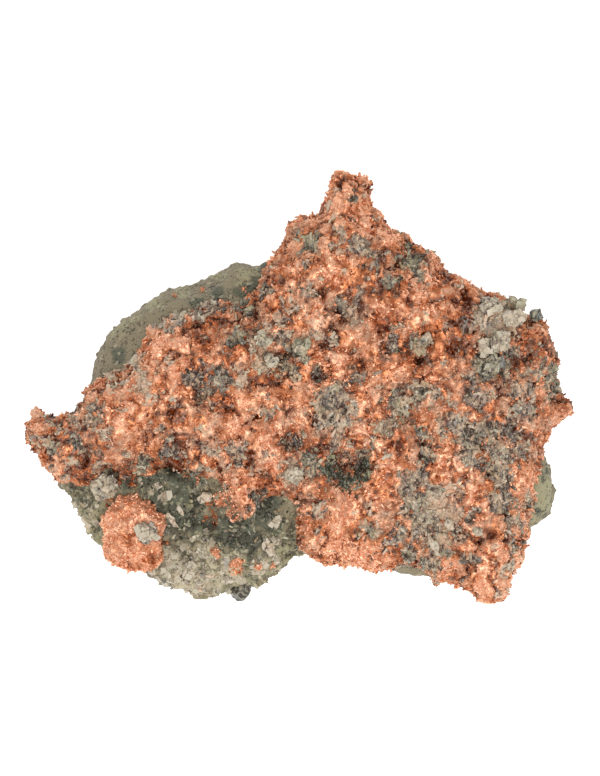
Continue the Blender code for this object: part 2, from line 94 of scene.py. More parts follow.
# (x, y, radius, how far the rock's edge moves out)
ROCK_EDGES = [
    (-41.0, 4.0, 3.0, -0.7), (-38.4, -34.4, 3.0, 1.4), (-36.0, 12.0, 3.0, 0.4),
    (-30.0, -37.4, 1.8, 1.0), (-26.6, -38.6, 4.0, 1.2), (-25.0, 20.0, 4.0, -0.5),
    (-22.8, -40.2, 1.6, 0.8), (-20.0, -41.0, 3.0, 0.5), (-11.4, -40.4, 2.2, -1.0),
    (-8.6, 24.6, 2.6, -0.6), (-3.8, -36.4, 2.4, 0.8), (-1.2, -35.2, 1.4, -0.6), (27.0, -38.8, 3.0, 0.9),
    (31.0, -40.4, 2.4, 2.3), (33.0, -42.0, 3.0, 0.9), (34.6, -41.8, 2.0, 2.3), (49.0, -25.4, 2.6, 1.2),
    (50.0, -14.2, 1.8, 0.6), (51.4, -20.0, 1.8, -0.6),
]


def linear(hex_colour):
    """The linear colour of an sRGB hex value."""
    shares = [int(hex_colour[i : i + 2], 16) / 255 for i in (1, 3, 5)]
    return (*[s / 12.92 if s < 0.04 else ((s + 0.055) / 1.055) ** 2.4 for s in shares], 1.0)


def add(tree, kind, inputs=None, stops=None, **settings):
    """One shader node with its settings. An input is a value or the socket that feeds it, and the
    stops are a colour ramp's, its two ends first."""
    made = tree.nodes.new("ShaderNode" + kind)
    for name, value in settings.items():
        setattr(made, name, value)
    for socket, value in (inputs or {}).items():
        if isinstance(value, bpy.types.NodeSocket):
            tree.links.new(value, made.inputs[socket])
        else:
            made.inputs[socket].default_value = value
    for i, (place, colour) in enumerate(stops or []):
        if i > 1:
            made.color_ramp.elements.new(place)
        made.color_ramp.elements[i].position = place
        made.color_ramp.elements[i].color = linear(colour)
    return made


def new_material(name):
    """A material with its node tree and its Principled shader."""
    material = bpy.data.materials.new(name)
    material.use_nodes = True
    return material, material.node_tree, material.node_tree.nodes["Principled BSDF"]


def bake(piece):
    """Turns a piece's modifiers into its mesh."""
    bpy.context.view_layer.update()
    graph = bpy.context.evaluated_depsgraph_get()
    mesh = bpy.data.meshes.new_from_object(piece.evaluated_get(graph))
    piece.modifiers.clear()
    piece.data = mesh


def shape_of(name, node_names, cell, rounding):
    """A new piece with the shape of these CAD solids, in even facets this wide, rounded by so many
    passes."""
    bm = bmesh.new()
    for node_name in node_names:
        bm.from_mesh(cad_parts[node_name].data)
    bmesh.ops.remove_doubles(bm, verts=bm.verts, dist=0.001 * MM)
    mesh = bpy.data.meshes.new(name)
    bm.to_mesh(mesh)
    bm.free()
    piece = bpy.data.objects.new(name, mesh)
    bpy.context.scene.collection.objects.link(piece)
    facets = piece.modifiers.new("Even facets", "REMESH")
    facets.mode = "VOXEL"
    facets.voxel_size = cell * MM
    rounded = piece.modifiers.new("Rounding", "SMOOTH")
    rounded.factor = 0.5
    rounded.iterations = rounding
    bake(piece)
    return piece


def points_of(piece):
    """A piece's points, in millimetres."""
    flat = np.empty(len(piece.data.vertices) * 3, np.float32)
    piece.data.vertices.foreach_get("co", flat)
    return flat.reshape(-1, 3).astype(float) / MM


def outward_of(piece):
    """The way that each of a piece's points faces."""
    flat = np.empty(len(piece.data.vertices) * 3, np.float32)
    piece.data.vertices.foreach_get("normal", flat)
    return flat.reshape(-1, 3).astype(float)


def set_points(piece, points):
    """Moves a piece's points, and keeps them inside the solids' box."""
    inside = np.clip(points * MM, np.array(cad_low), np.array(cad_high))
    piece.data.vertices.foreach_set("co", inside.astype(np.float32).ravel())
    piece.data.update()


def set_attribute(piece, name, values):
    """One number from 0 to 1 at each point, for the material to read."""
    made = piece.data.attributes.new(name, "FLOAT", "POINT")
    made.data.foreach_set("value", np.clip(values, 0, 1).astype(np.float32))


def swell(points, pitch, seed):
    """Smooth relief from -1 to 1, with features this far apart."""
    shift = Vector((17.3 * seed, 5.9 * seed, 11.1 * seed))
    return np.array([noise.noise(Vector(p) + shift) for p in (points / pitch).tolist()])


def cells(points, pitch, seed):
    """Scattered cells this wide: how far out in its cell a point is, how far it is from the next cell,
    and a number from -1 to 1 that the whole cell shares."""
    shift = Vector((3.1 * seed, 7.7 * seed, 1.9 * seed))
    found = []
    for place in (points / pitch).tolist():
        distances, centres = noise.voronoi(Vector(place) + shift)
        lot = 1.6 * noise.noise(7.3 * centres[0])
        found.append((distances[0], distances[1] - distances[0], lot))
    return np.array(found).T


def bell(points, x, y, radius):
    """1 at a place in plan, falling to about 0.1 at 1.5 radii."""
    return np.exp(-((points[:, 0] - x) ** 2 + (points[:, 1] - y) ** 2) / radius**2)


def spots(points, rows):
    """0 to 1: how far each point lies in any of these (x, y, radius) spots."""
    return np.max([bell(points, *row[:3]) for row in rows], axis=0)


def wander(points, reach, pitch, seed):
    """The points moved about smoothly in plan, so that spots laid on them get ragged outlines."""
    moved = points.copy()
    moved[:, 0] += reach * swell(points, pitch, seed)
    moved[:, 1] += reach * swell(points, pitch, seed + 1)
    return moved


def step(values, low, high):
    """0 below low, 1 above high, and smooth between."""
    share = np.clip((values - low) / (high - low), 0, 1)
    return share**2 * (3 - 2 * share)


def edge_shift(points, outward, rows):
    """How far these edge rows move each point: all of it where the surface is upright."""
    shifts = np.sum([row[3] * bell(points, *row[:3]) for row in rows], axis=0)
    return shifts * (1 - np.abs(outward[:, 2]))


rock = shape_of("altered_basalt", ["host_rock"], ROCK_CELL, ROCK_ROUNDING)
points, outward = points_of(rock), outward_of(rock)
faces_up = step(outward[:, 2], -0.2, 0.3)
rough = np.minimum(1, 1.6 * spots(points, ROUGH_ROCK)) * faces_up
broken = 1 - faces_up
block, block_gap, block_lot = cells(points, BLOCK, 1)
_, chip_gap, chip_lot = cells(points, CHIP, 2)
grit = cells(points, GRIT, 3)[0]
relief = 0.25 * swell(points, 4.5, 3) + 0.2 * swell(points, 1.5, 4) + 0.12 * swell(points, 0.8, 5)
relief -= 0.3 * step(swell(points, 1.7, 6), 0.35, 0.6)
chunky = 0.9 * block_lot + 0.7 * chip_lot + 0.5 * (0.5 - block) + 0.45 * (0.5 - grit)
chunky -= 0.4 * (1 - step(block_gap, 0.0, 0.1)) + 0.3 * (1 - step(chip_gap, 0.0, 0.12))
chunky += 0.6 * swell(points, 3.0, 7)
relief += rough * chunky
faceted = 0.9 * block_lot + 0.6 * chip_lot + 0.45 * swell(points, 1.8, 8) + 0.35 * (0.4 - grit)
relief += broken * (faceted - 0.3 * (1 - step(block_gap, 0.0, 0.1)))
relief += edge_shift(points, outward, ROCK_EDGES)
worked = points + (relief + 0.1)[:, None] * outward
worked[:, 2] -= faces_up * np.max([row[3] * bell(points, *row[:3]) for row in ROCK_HOLES], axis=0)
set_points(rock, worked)
ragged = 0.35 * swell(points, 2.2, 10) + 0.2 * swell(points, 1.0, 11)
moved = wander(points, 1.8, 2.6, 16)
set_attribute(rock, "chlorite", step(spots(moved, GREEN_ROCK) + ragged, 0.3, 0.6) * faces_up)
set_attribute(rock, "olive", step(spots(moved, OLIVE_ROCK) + ragged, 0.3, 0.9) * faces_up)
set_attribute(rock, "cream", step(spots(moved, CREAM_ROCK) + ragged, 0.35, 0.6) * faces_up)
# painted shade: the rock is painted darker in its recesses and in its holes
recess_shade = step(0.3 * grit - 0.7 * rough * chunky - 0.4 * broken * faceted, 0.15, 0.9)
set_attribute(rock, "recess_shade", recess_shade + 1.4 * spots(points, ROCK_HOLES) * faces_up)
set_attribute(rock, "lot", 0.5 + (rough + 0.7 * broken) * (0.3 * block_lot + 0.35 * chip_lot))
rock.data.shade_smooth()


def layered_colour(tree, level, ground, layers):
    """A stone's colours from dark to pale, and those of each stain that an attribute lays over it."""
    colour = add(tree, "ValToRGB", {"Fac": level}, stops=ground).outputs[0]
    for name, stops in layers:
        colour = add(
            tree,
            "Mix",
            {
                0: add(tree, "Attribute", attribute_name=name).outputs["Fac"],
                6: colour,
                7: add(tree, "ValToRGB", {"Fac": level}, stops=stops).outputs[0],
            },
            data_type="RGBA",
        ).outputs[2]
    return colour


def basalt_material():
    """Altered basalt, weathered: a dull olive-grey ground, speckled by its grains of feldspar.

    It is nearly black-green where chlorite stains it, and cream where feldspar crumbles out of it.
    """
    material, tree, shader = new_material("Altered basalt, weathered")
    place = add(tree, "TexCoord").outputs["Object"]
    grain = add(tree, "TexNoise", {"Vector": place, "Scale": 1 / (FELDSPAR * MM), "Detail": 4.0})
    speck = add(tree, "TexVoronoi", {"Vector": place, "Scale": 1 / (DUST_SPECK * MM)})
    fleck = add(tree, "TexNoise", {"Vector": place, "Scale": 1 / (FLECK * MM), "Detail": 2.0})
    lot = add(tree, "Attribute", attribute_name="lot").outputs["Fac"]
    mottle = add(tree, "TexNoise", {"Vector": place, "Scale": 1 / (MOTTLE * MM), "Detail": 3.0})
    fine = add(tree, "Mix", {0: 0.5, 2: grain.outputs["Fac"], 3: fleck.outputs["Fac"]}).outputs[0]
    fine = add(tree, "Math", {0: fine, 1: 1.9, 2: -0.45}, operation="MULTIPLY_ADD").outputs[0]
    spread = add(tree, "MapRange", {0: mottle.outputs["Fac"], 1: 0.35, 2: 0.65, 3: -0.1, 4: 0.1})
    mixed = add(tree, "Math", {0: fine, 1: spread.outputs[0]}, operation="ADD").outputs[0]
    shift = add(tree, "MapRange", {0: lot, 3: -0.22, 4: 0.22}).outputs[0]
    level = add(tree, "Math", {0: mixed, 1: shift}, operation="ADD").outputs[0]
    colour = layered_colour(
        tree,
        level,
        [(0.25, "#483F2D"), (0.75, "#AB9F84"), (0.5, "#7C7158")],
        [
            ("olive", [(0.25, "#4C4830"), (0.75, "#C9C19D"), (0.5, "#8F8868")]),
            ("chlorite", [(0.25, "#20221A"), (0.75, "#8C8A73"), (0.5, "#4C4D3B")]),
            ("cream", [(0.25, "#6A5F48"), (0.75, "#DFD6BD"), (0.5, "#AEA286")]),
        ],
    )
    dusty = add(
        tree,
        "Mix",
        {
            0: add(tree, "MapRange", {0: speck.outputs["Color"], 1: 0.82, 2: 0.9, 4: 0.5}).outputs[0],
            6: colour,
            7: linear("#ABA188"),
        },
        data_type="RGBA",
    )
    # painted shade: the colour darkens towards a near-black brown in the rock's recesses and holes
    shade = add(
        tree,
        "Math",
        {0: add(tree, "Attribute", attribute_name="recess_shade").outputs["Fac"], 1: 0.6},
        operation="MULTIPLY",
    )
    dim = add(
        tree,
        "Mix",
        {0: shade.outputs[0], 6: dusty.outputs[2], 7: linear("#2C2519")},
        data_type="RGBA",
    )
    tree.links.new(dim.outputs[2], shader.inputs["Base Color"])
    shader.inputs["Roughness"].default_value = 0.82
    bump = add(
        tree, "Bump", {"Strength": 0.9, "Distance": 0.2 * MM, "Height": fleck.outputs["Fac"]}
    )
    tree.links.new(bump.outputs["Normal"], shader.inputs["Normal"])
    return material


rock.data.materials.append(basalt_material())
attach(rock, "root")
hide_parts("host_rock")

# ---- Copper crust -----------------------------------------------------------------------------------
# Native copper, grown as one spongy mass in a vein. The solid's shape is remeshed in small facets and
# worked into nodules, crevices and pits. Attributes say where vein minerals fill the copper and where
# they are green or pale, and the tone carries painted shade, darker copper in the crevices, pits and
# vein edges, and painted highlight, brighter copper on the raised lumps.
CRUST_CELL = 0.445
CRUST_ROUNDING = 5
CRUST_SINK = 0.35  # the worked surface lies this deep, and the fine points reach back out
CRUST_GRAIN = 0.72  # the lumps are drawn out along y by the inverse of this
NODULE, LUMP, CRUMB = 4.0, 1.9, 1.1  # widths of the copper's growths, coarse to fine
TARNISH = 2.4  # width of its darker and paler drifts
HACKLE = 0.45  # its finest steps, drawn some five times too coarse so that they show
VEIN_GRAIN = 0.9  # width of the speckle in the vein minerals
# (x, y, radius, paleness from -1 to 1, greenness from 0 to 1) of the patches of vein mineral
VEIN_PATCHES = [
    (-52.2, -10.8, 1.4, 0.7, 0.0), (-49.2, -12.4, 1.5, 0.1, 0.5), (-48.4, -6.6, 1.5, -0.1, 0.1),
    (-47.6, -8.6, 1.4, -0.1, 0.2), (-46.4, -15.6, 1.8, 0.4, 0.1), (-45.0, -6.0, 1.6, 0.5, 0.0),
    (-43.4, -10.8, 1.8, -0.5, 0.3), (-40.4, -5.6, 2.4, -0.2, 0.1), (-39.8, -15.6, 2.0, 0.2, 0.1),
    (-37.6, -8.6, 1.8, 0.3, 0.0), (-37.6, 1.6, 2.3, 0.9, 0.1), (-35.4, 4.0, 2.0, 0.1, 0.4),
    (-32.8, 5.2, 2.0, 0.9, 0.1), (-31.4, 11.0, 1.4, 0.1, 0.1), (-30.8, -15.6, 2.2, -0.2, 0.7),
    (-30.6, 0.6, 2.2, 0.8, 0.0), (-28.2, -2.0, 1.6, 0.8, 0.0), (-28.0, 13.0, 2.2, 0.3, 0.1),
    (-27.2, -8.4, 1.2, 0.1, 0.2), (-25.8, -12.8, 1.8, -0.5, 0.2), (-24.6, 11.6, 1.6, -0.3, 0.2),
    (-24.4, -3.8, 1.2, 0.0, 0.1), (-23.6, 14.8, 2.6, 0.9, 0.1), (-20.8, -18.0, 1.4, -0.4, 0.5),
    (-20.8, 1.4, 1.8, -0.5, 0.2), (-20.6, 16.4, 1.8, -0.4, 0.3), (-18.6, -1.2, 1.8, -0.3, 0.1),
    (-18.6, 4.6, 1.8, -0.4, 0.2), (-18.2, 15.4, 1.6, -0.1, 0.2), (-17.0, -12.8, 1.6, 0.3, 0.1),
    (-16.6, 17.0, 1.8, -0.3, 0.3), (-16.4, 3.6, 1.8, -0.4, 0.2), (-15.6, 1.0, 2.4, -0.8, 0.3),
    (-14.6, 15.0, 1.6, -0.2, 0.2), (-13.8, 1.2, 1.6, -0.8, 0.3), (-12.4, 17.0, 1.8, -0.5, 0.6),
    (-12.0, -13.8, 2.0, 0.1, 0.1), (-11.8, 10.2, 1.8, -0.4, 0.7), (-10.6, 2.0, 1.8, 0.9, 0.0),
    (-10.0, 15.0, 1.6, -0.5, 0.8), (-8.0, -23.4, 1.6, -0.6, 0.8), (-7.6, 9.6, 2.2, 1.2, 0.1),
    (-7.0, -21.8, 1.2, -0.3, 0.4), (-6.6, 20.4, 1.6, -0.4, 0.5), (-6.2, 5.2, 2.4, 0.9, 0.2),
    (-5.8, -5.6, 1.8, 0.1, 0.0), (-3.0, 9.5, 1.6, -0.4, 0.2), (-2.8, 14.2, 1.8, 0.3, 0.0),
    (-2.5, 3.6, 2.0, 0.0, 0.4), (-1.4, -11.0, 1.9, -0.8, 0.1), (-1.2, -17.2, 2.4, 0.4, 0.1),
    (0.2, 8.2, 2.2, 0.1, 0.5), (1.2, 19.8, 1.5, 0.1, 0.1), (1.8, 29.0, 2.1, -0.1, 0.6),
    (2.6, -15.2, 2.2, -0.4, 0.6), (3.0, 10.8, 1.8, 0.2, 0.1), (3.6, 3.2, 1.6, -0.5, 0.3),
    (3.8, -3.0, 1.8, 0.2, 0.1), (4.8, -24.2, 1.5, 0.1, 0.0), (6.6, -16.2, 1.8, -0.9, 1.0),
    (6.6, -6.0, 2.8, 0.1, 0.2), (7.2, -1.8, 3.0, -0.1, 0.3), (7.8, -10.6, 2.0, -0.1, 0.2),
    (7.8, 30.0, 1.6, 0.0, 0.2), (8.0, -18.4, 1.8, -1.2, 1.0), (8.8, 17.0, 1.4, -0.4, 0.1),
    (10.2, -18.4, 1.8, -1.1, 1.0), (10.4, -5.2, 2.0, 0.0, 0.2), (10.6, 14.4, 2.4, 0.4, 0.0),
    (10.8, 37.8, 0.8, -1.0, 0.8), (11.4, -13.6, 1.6, -0.5, 0.1), (11.8, 2.2, 2.0, 0.0, 0.2),
    (12.4, 28.0, 2.2, -0.1, 0.2), (12.6, -17.0, 1.5, -1.0, 1.0), (12.6, 18.6, 1.6, -0.2, 0.1),
    (13.2, -15.8, 1.0, -1.0, 1.0), (13.8, -29.0, 1.8, -0.1, 0.5), (14.6, 26.4, 1.4, 0.2, 0.3),
    (15.4, 23.6, 1.6, -0.5, 0.3), (17.4, -8.2, 2.2, 0.0, 0.3), (17.6, -31.0, 1.6, 0.2, 0.0),
    (18.0, 21.0, 1.8, -0.1, 0.6), (18.8, 8.2, 1.8, -0.5, 0.2), (19.2, 12.4, 1.6, -0.6, 0.2),
    (20.4, -29.6, 2.2, -0.5, 0.3), (20.4, -4.0, 3.0, 0.0, 0.5), (20.4, 6.8, 1.6, -0.5, 0.7),
    (21.4, -21.6, 2.6, -0.3, 0.2), (21.8, -33.6, 2.4, -0.3, 0.5), (22.6, -19.0, 2.4, -0.5, 0.2),
    (22.8, 25.6, 2.6, -0.3, 0.8), (23.4, -24.0, 2.4, -0.1, 0.4), (23.8, -1.0, 2.2, 0.2, 0.3),
    (24.2, 8.8, 2.2, 0.2, 0.5), (24.4, 23.6, 1.6, -0.2, 0.6), (24.6, -17.6, 1.8, -0.9, 0.2),
    (24.8, -28.0, 3.2, 0.0, 0.3), (25.2, -10.0, 1.6, -0.1, 0.3), (25.6, -13.8, 1.6, -0.2, 0.5),
    (26.0, -19.6, 2.0, -0.3, 0.2), (26.2, -35.0, 2.2, -0.2, 0.5), (26.6, -0.4, 1.5, 0.2, 0.1),
    (27.8, -23.0, 3.4, 0.9, 0.0), (28.6, -33.4, 2.2, -0.4, 0.2), (28.8, -30.0, 2.6, 0.2, 0.2),
    (30.6, -25.2, 2.0, 0.0, 0.1), (31.6, -28.6, 1.8, -0.1, 0.2), (31.6, -7.0, 3.0, 0.2, 0.1),
    (31.8, -20.4, 1.6, 0.2, 0.0), (34.0, 1.2, 1.8, 0.1, 0.1), (34.2, -10.6, 2.6, -0.3, 0.4),
    (34.4, -14.4, 2.4, 0.0, 0.1), (34.4, 12.4, 1.8, -0.2, 0.2), (34.6, -33.8, 1.6, -0.5, 0.3),
    (34.8, -25.6, 1.6, -0.1, 0.2), (35.8, -7.4, 1.8, -0.8, 0.4), (36.0, -1.6, 2.8, 0.0, 0.1),
    (36.0, 14.4, 2.2, 0.0, 0.1), (37.4, 4.4, 3.0, -0.3, 0.6), (37.8, -9.4, 2.2, -0.6, 0.3),
    (38.2, 12.4, 2.0, 0.4, 0.1), (38.6, -12.6, 2.0, -0.1, 0.3), (39.0, 8.2, 2.6, 0.3, 0.2),
    (39.4, -16.2, 2.2, -0.1, 0.3), (40.6, -22.4, 3.0, -0.2, 0.3), (41.0, 12.6, 2.8, 0.9, 0.1),
    (41.2, -18.4, 1.8, -0.1, 0.2), (41.4, -21.0, 1.8, 0.0, 0.1), (41.4, 2.6, 1.8, 0.1, 0.3),
    (41.6, -37.0, 1.8, 0.9, 0.0), (41.6, -13.6, 2.4, -0.2, 0.2), (41.6, 16.0, 2.2, 0.8, 0.4),
    (42.0, -9.0, 2.4, -0.4, 0.3), (42.2, 6.8, 1.5, -0.2, 0.2), (42.8, -13.2, 1.6, -0.3, 0.2),
    (43.0, -32.6, 1.6, -0.4, 0.3), (43.6, -5.0, 2.0, -0.3, 0.2), (43.8, -27.6, 1.6, 0.0, 0.2),
    (44.4, -0.6, 2.6, 0.2, 0.0), (45.4, -11.6, 2.2, -0.2, 0.2), (46.6, -21.8, 1.2, -0.2, 0.5),
    (46.6, -5.4, 1.8, -0.4, 0.2), (48.4, 3.6, 2.0, 0.1, 0.2), (51.0, -0.6, 1.8, -0.1, 0.7),
    (51.4, 3.0, 2.4, 0.0, 0.8),
]
# (x, y, radius, depth) of the pits, holes and short cracks
PITS = [
    (-41.2, -20.6, 1.0, 1.8), (-34.8, -18.6, 0.8, 1.8), (-24.9, -15.4, 1.4, 3.4),
    (-19.8, 12.4, 1.0, 2.2), (-19.4, -1.6, 1.0, 2.2), (-8.4, 4.4, 0.9, 1.6), (-3.2, 6.0, 1.2, 2.6),
    (-1.0, -10.8, 1.8, 2.4), (-0.4, -23.6, 0.9, 2.6), (-0.2, -30.0, 0.9, 2.6), (-0.2, -27.0, 0.9, 2.6),
    (4.0, 2.4, 1.3, 2.2), (4.6, 18.4, 0.9, 1.8), (6.8, 12.4, 0.8, 1.8), (7.9, 40.6, 0.6, 1.8),
    (8.6, 13.4, 0.8, 2.0), (8.7, 15.2, 0.8, 2.0), (9.2, -14.8, 1.4, 2.8), (10.8, 7.0, 0.8, 1.8),
    (11.0, 37.9, 0.6, 1.8), (11.3, 39.2, 0.6, 2.2), (11.8, -15.6, 1.0, 1.8), (11.8, 4.4, 1.5, 2.6),
    (15.6, 14.6, 0.9, 2.0), (16.3, 11.2, 0.9, 2.0), (17.0, 8.2, 0.9, 2.0), (20.2, 25.0, 0.9, 1.8),
    (24.0, 5.6, 1.0, 2.0), (24.4, -0.6, 0.8, 1.6), (24.6, -13.6, 0.7, 1.8), (24.8, -11.0, 0.7, 1.8),
    (31.2, 17.2, 1.0, 1.8), (34.0, -36.0, 0.9, 1.8), (36.2, -30.4, 0.8, 1.8), (38.4, -17.2, 0.9, 1.8),
    (38.6, -29.5, 0.9, 2.0), (41.0, -5.2, 0.8, 1.8), (41.4, -29.8, 1.1, 2.0), (43.0, 10.8, 0.8, 1.6),
    (44.2, -30.2, 0.9, 1.8), (46.0, 5.2, 1.0, 1.8),
]
# (x, y, radius) of the deep red copper, stained by cuprite, the red oxide
RED_COPPER = [
    (-47.6, -8.4, 1.6), (-45.8, -4.4, 1.6), (-43.0, -13.2, 2.2), (-42.8, -18.0, 1.8),
    (-37.8, -3.6, 1.8), (-37.2, -17.4, 1.6), (-37.0, -4.0, 1.4), (-34.0, -17.8, 2.0), (-34.0, 8.6, 1.6),
    (-31.4, -36.2, 1.6), (-30.6, 8.6, 1.6), (-29.4, -34.6, 2.4), (-29.4, -15.4, 2.0),
    (-28.0, -32.6, 1.8), (-25.8, -12.8, 2.0), (-25.8, -11.4, 2.0), (-24.9, -15.4, 1.7),
    (-24.6, -17.0, 2.2), (-24.0, -6.8, 1.8), (-23.4, 4.0, 1.6), (-20.8, 1.2, 2.0), (-20.0, 5.4, 1.4),
    (-20.0, 9.6, 1.4), (-19.8, 1.6, 1.2), (-18.8, -15.4, 1.8), (-18.6, 8.4, 1.8), (-18.6, 13.4, 1.8),
    (-15.6, -3.0, 1.6), (-15.0, 1.4, 2.2), (-13.8, 6.0, 1.8), (-13.2, -15.2, 1.0), (-10.0, -15.2, 1.0),
    (-9.0, 18.6, 1.6), (-6.6, 20.4, 1.6), (-6.4, -19.8, 1.6), (-5.6, 15.8, 1.6), (-2.0, 22.6, 1.6),
    (-0.6, 13.0, 1.2), (0.6, 3.4, 1.6), (3.0, -13.4, 1.6), (4.2, -12.6, 1.8), (4.4, -28.2, 1.6),
    (6.6, 9.4, 1.2), (7.8, 28.6, 1.8), (7.8, 30.0, 1.6), (8.4, -1.6, 1.2), (10.2, 18.0, 1.6),
    (10.2, 36.8, 1.2), (10.4, 17.4, 1.8), (12.6, 22.4, 1.4), (15.0, -18.2, 1.4), (15.0, 18.4, 2.0),
    (15.0, 20.2, 1.6), (17.0, 26.4, 1.8), (17.4, -20.6, 1.6), (17.6, -10.8, 1.6), (19.0, 18.6, 2.0),
    (19.6, -10.8, 1.8), (19.8, 8.4, 1.8), (19.8, 26.6, 2.2), (21.6, 6.4, 1.8), (22.4, -32.2, 1.8),
    (23.2, 4.4, 1.8), (25.8, -16.4, 2.4), (27.4, 10.2, 2.4), (27.6, 9.6, 3.2), (28.4, 9.4, 2.0),
    (29.6, 22.0, 1.6), (31.6, 9.4, 2.4), (32.4, 12.0, 2.4), (33.6, 16.6, 1.6), (34.0, 11.6, 1.8),
    (36.4, -21.0, 1.6), (38.8, -38.0, 1.4), (41.2, -18.0, 2.2), (43.6, 5.6, 1.8), (45.4, -10.0, 1.4),
    (45.4, 8.2, 2.4), (50.0, 9.6, 1.8),
]
# (x, y, radius) of the painted highlights, where the copper is painted brightest
PAINTED_HIGHLIGHTS = [
    (-46.0, -15.2, 2.0), (-34.6, -4.6, 5.0), (-28.2, 1.2, 2.0), (-28.0, 8.0, 5.0), (-22.0, 3.0, 5.0),
    (-13.6, -22.0, 3.0), (-11.4, -12.6, 2.0), (-11.4, -8.6, 2.4), (-11.4, -3.6, 2.6), (-9.0, 3.6, 1.8),
    (-6.6, -20.2, 1.8), (-4.4, -11.6, 4.2), (-1.8, 22.8, 2.0), (2.8, 27.4, 1.8), (3.0, -25.4, 2.0),
    (5.0, 21.6, 2.8), (5.4, 6.0, 2.0), (7.2, 21.0, 2.2), (8.0, 36.0, 3.0), (8.4, -28.0, 8.0),
    (9.0, 38.6, 4.0), (9.4, 3.0, 4.5), (9.6, 34.6, 4.6), (12.0, -21.0, 2.0), (12.0, 33.0, 4.6),
    (12.8, -22.8, 3.4), (12.8, 35.4, 3.0), (13.0, -33.0, 5.0), (14.0, -6.0, 3.0), (15.0, -13.2, 2.2),
    (15.2, -34.8, 3.0), (15.6, -15.4, 1.6), (15.6, -8.2, 4.0), (16.0, -17.5, 3.5), (17.2, 12.0, 3.0),
    (17.4, -13.4, 2.2), (17.4, 13.4, 2.6), (17.6, -34.8, 2.2), (19.8, -15.4, 2.2), (19.8, 30.0, 2.4),
    (24.0, 15.4, 4.2), (24.6, -6.0, 1.8), (26.6, 22.4, 1.8), (27.0, 3.4, 2.0), (29.6, -35.4, 1.8),
    (29.8, 15.8, 2.0), (30.0, -15.0, 4.0), (34.8, -22.8, 3.2), (36.6, -32.4, 2.6), (36.6, -22.8, 2.2),
    (38.4, -36.0, 5.0), (38.6, -39.0, 5.0), (39.0, -32.4, 2.6), (43.8, -20.4, 2.0), (44.0, -36.0, 4.0),
    (45.8, -17.4, 2.2),
]
# (x, y, radius, how far the crust's edge moves out)
CRUST_EDGES = [
    (-55.0, -10.0, 2.0, -0.5), (-54.0, -10.0, 2.0, -0.5), (-53.8, -12.6, 1.6, -0.9),
    (-52.6, -5.0, 1.4, 0.9), (-51.0, -15.2, 2.0, 0.6), (-50.2, -5.2, 1.2, -0.8),
    (-48.2, -18.6, 1.6, 0.6), (-45.4, -3.8, 1.6, -0.6), (-44.2, -3.6, 1.6, -0.8),
    (-42.6, -1.0, 1.6, 0.8), (-34.8, -17.0, 2.4, 1.8), (-25.4, -16.4, 3.0, 2.0),
    (-20.6, -16.6, 2.4, 1.2), (-9.8, -25.4, 1.3, 0.9), (-6.4, -22.8, 1.3, -1.2),
    (-4.2, -20.6, 1.2, 0.8), (-4.2, 27.8, 2.4, -1.0), (-3.2, -22.4, 1.0, -0.6), (-3.0, 31.0, 2.0, -0.7),
    (-2.8, 31.6, 1.4, -0.5), (0.4, 33.8, 2.0, 0.8), (3.8, -35.6, 1.8, -0.5), (4.2, 35.2, 1.4, -0.8),
    (4.6, 36.6, 2.0, -1.6), (5.2, 40.0, 1.2, -0.5), (5.4, 42.2, 1.2, -1.1), (8.4, 43.2, 1.6, 0.8),
    (12.4, -36.2, 2.6, -0.6), (14.0, 42.4, 1.8, 0.6), (15.0, 39.8, 1.8, -1.5), (15.2, 37.4, 1.4, -0.8),
    (15.4, -37.0, 1.6, 1.4), (18.0, 33.2, 1.8, -0.8), (19.0, 32.4, 2.0, -0.6), (22.0, -35.8, 2.0, -1.2),
    (22.0, 29.8, 1.6, -0.5), (23.0, 29.8, 2.0, -0.5), (25.0, -37.0, 1.6, -1.4), (27.0, 26.0, 2.0, 0.8),
    (27.8, -39.0, 1.2, 1.4), (30.4, 22.8, 1.6, -0.7), (30.8, -39.8, 1.6, -0.9),
    (33.4, -41.0, 1.6, -0.6), (35.0, 20.8, 2.2, -0.5), (38.4, -43.0, 3.0, 0.8), (38.4, 19.2, 1.6, -0.6),
    (42.0, -40.0, 2.4, 0.9), (45.6, -34.4, 1.4, 0.2), (46.0, -32.6, 3.0, 0.6), (46.2, -29.8, 1.8, 0.8),
    (48.6, -16.0, 2.0, 0.5), (49.2, -13.2, 1.6, 0.8), (50.4, 11.4, 2.4, 0.7), (51.8, -8.0, 2.0, -0.1),
    (51.8, 7.4, 2.0, -0.4),
]


def vein_share(points):
    """0 in copper to 1 in vein mineral, with ragged edges and stray specks."""
    ragged = 0.4 * swell(points, 1.6, 11) + 0.3 * swell(points, 0.8, 12)
    stray = step(swell(points, 2.6, 13) + 0.4 * swell(points, 1.1, 14), 0.42, 0.66)
    patches = spots(wander(points, 2.4, 2.8, 15), VEIN_PATCHES) + ragged
    return np.maximum(step(patches, 0.3, 0.6), 0.85 * stray)


def nearby(points, rows, column, elsewhere=0.0, pull=0.0):
    """One column of these rows, each point taking the nearest rows' value, or this one elsewhere."""
    weights = np.array([bell(points, *row[:3]) for row in rows])
    values = np.array([row[column] for row in rows])
    return ((weights * values[:, None]).sum(0) + pull * elsewhere) / (weights.sum(0) + pull)


def vein_paleness(points):
    """How pale the vein minerals are, 0 to 1."""
    patches = nearby(wander(points, 2.4, 2.8, 15), VEIN_PATCHES, 3, 0.7, 0.03)
    return 0.37 + 0.4 * patches + 0.45 * swell(points, 2.6, 28)


def vein_greenness(points):
    """How green chlorite and prehnite make the vein minerals, 0 to 1."""
    return nearby(wander(points, 2.4, 2.8, 15), VEIN_PATCHES, 4, 0.1, 0.03)


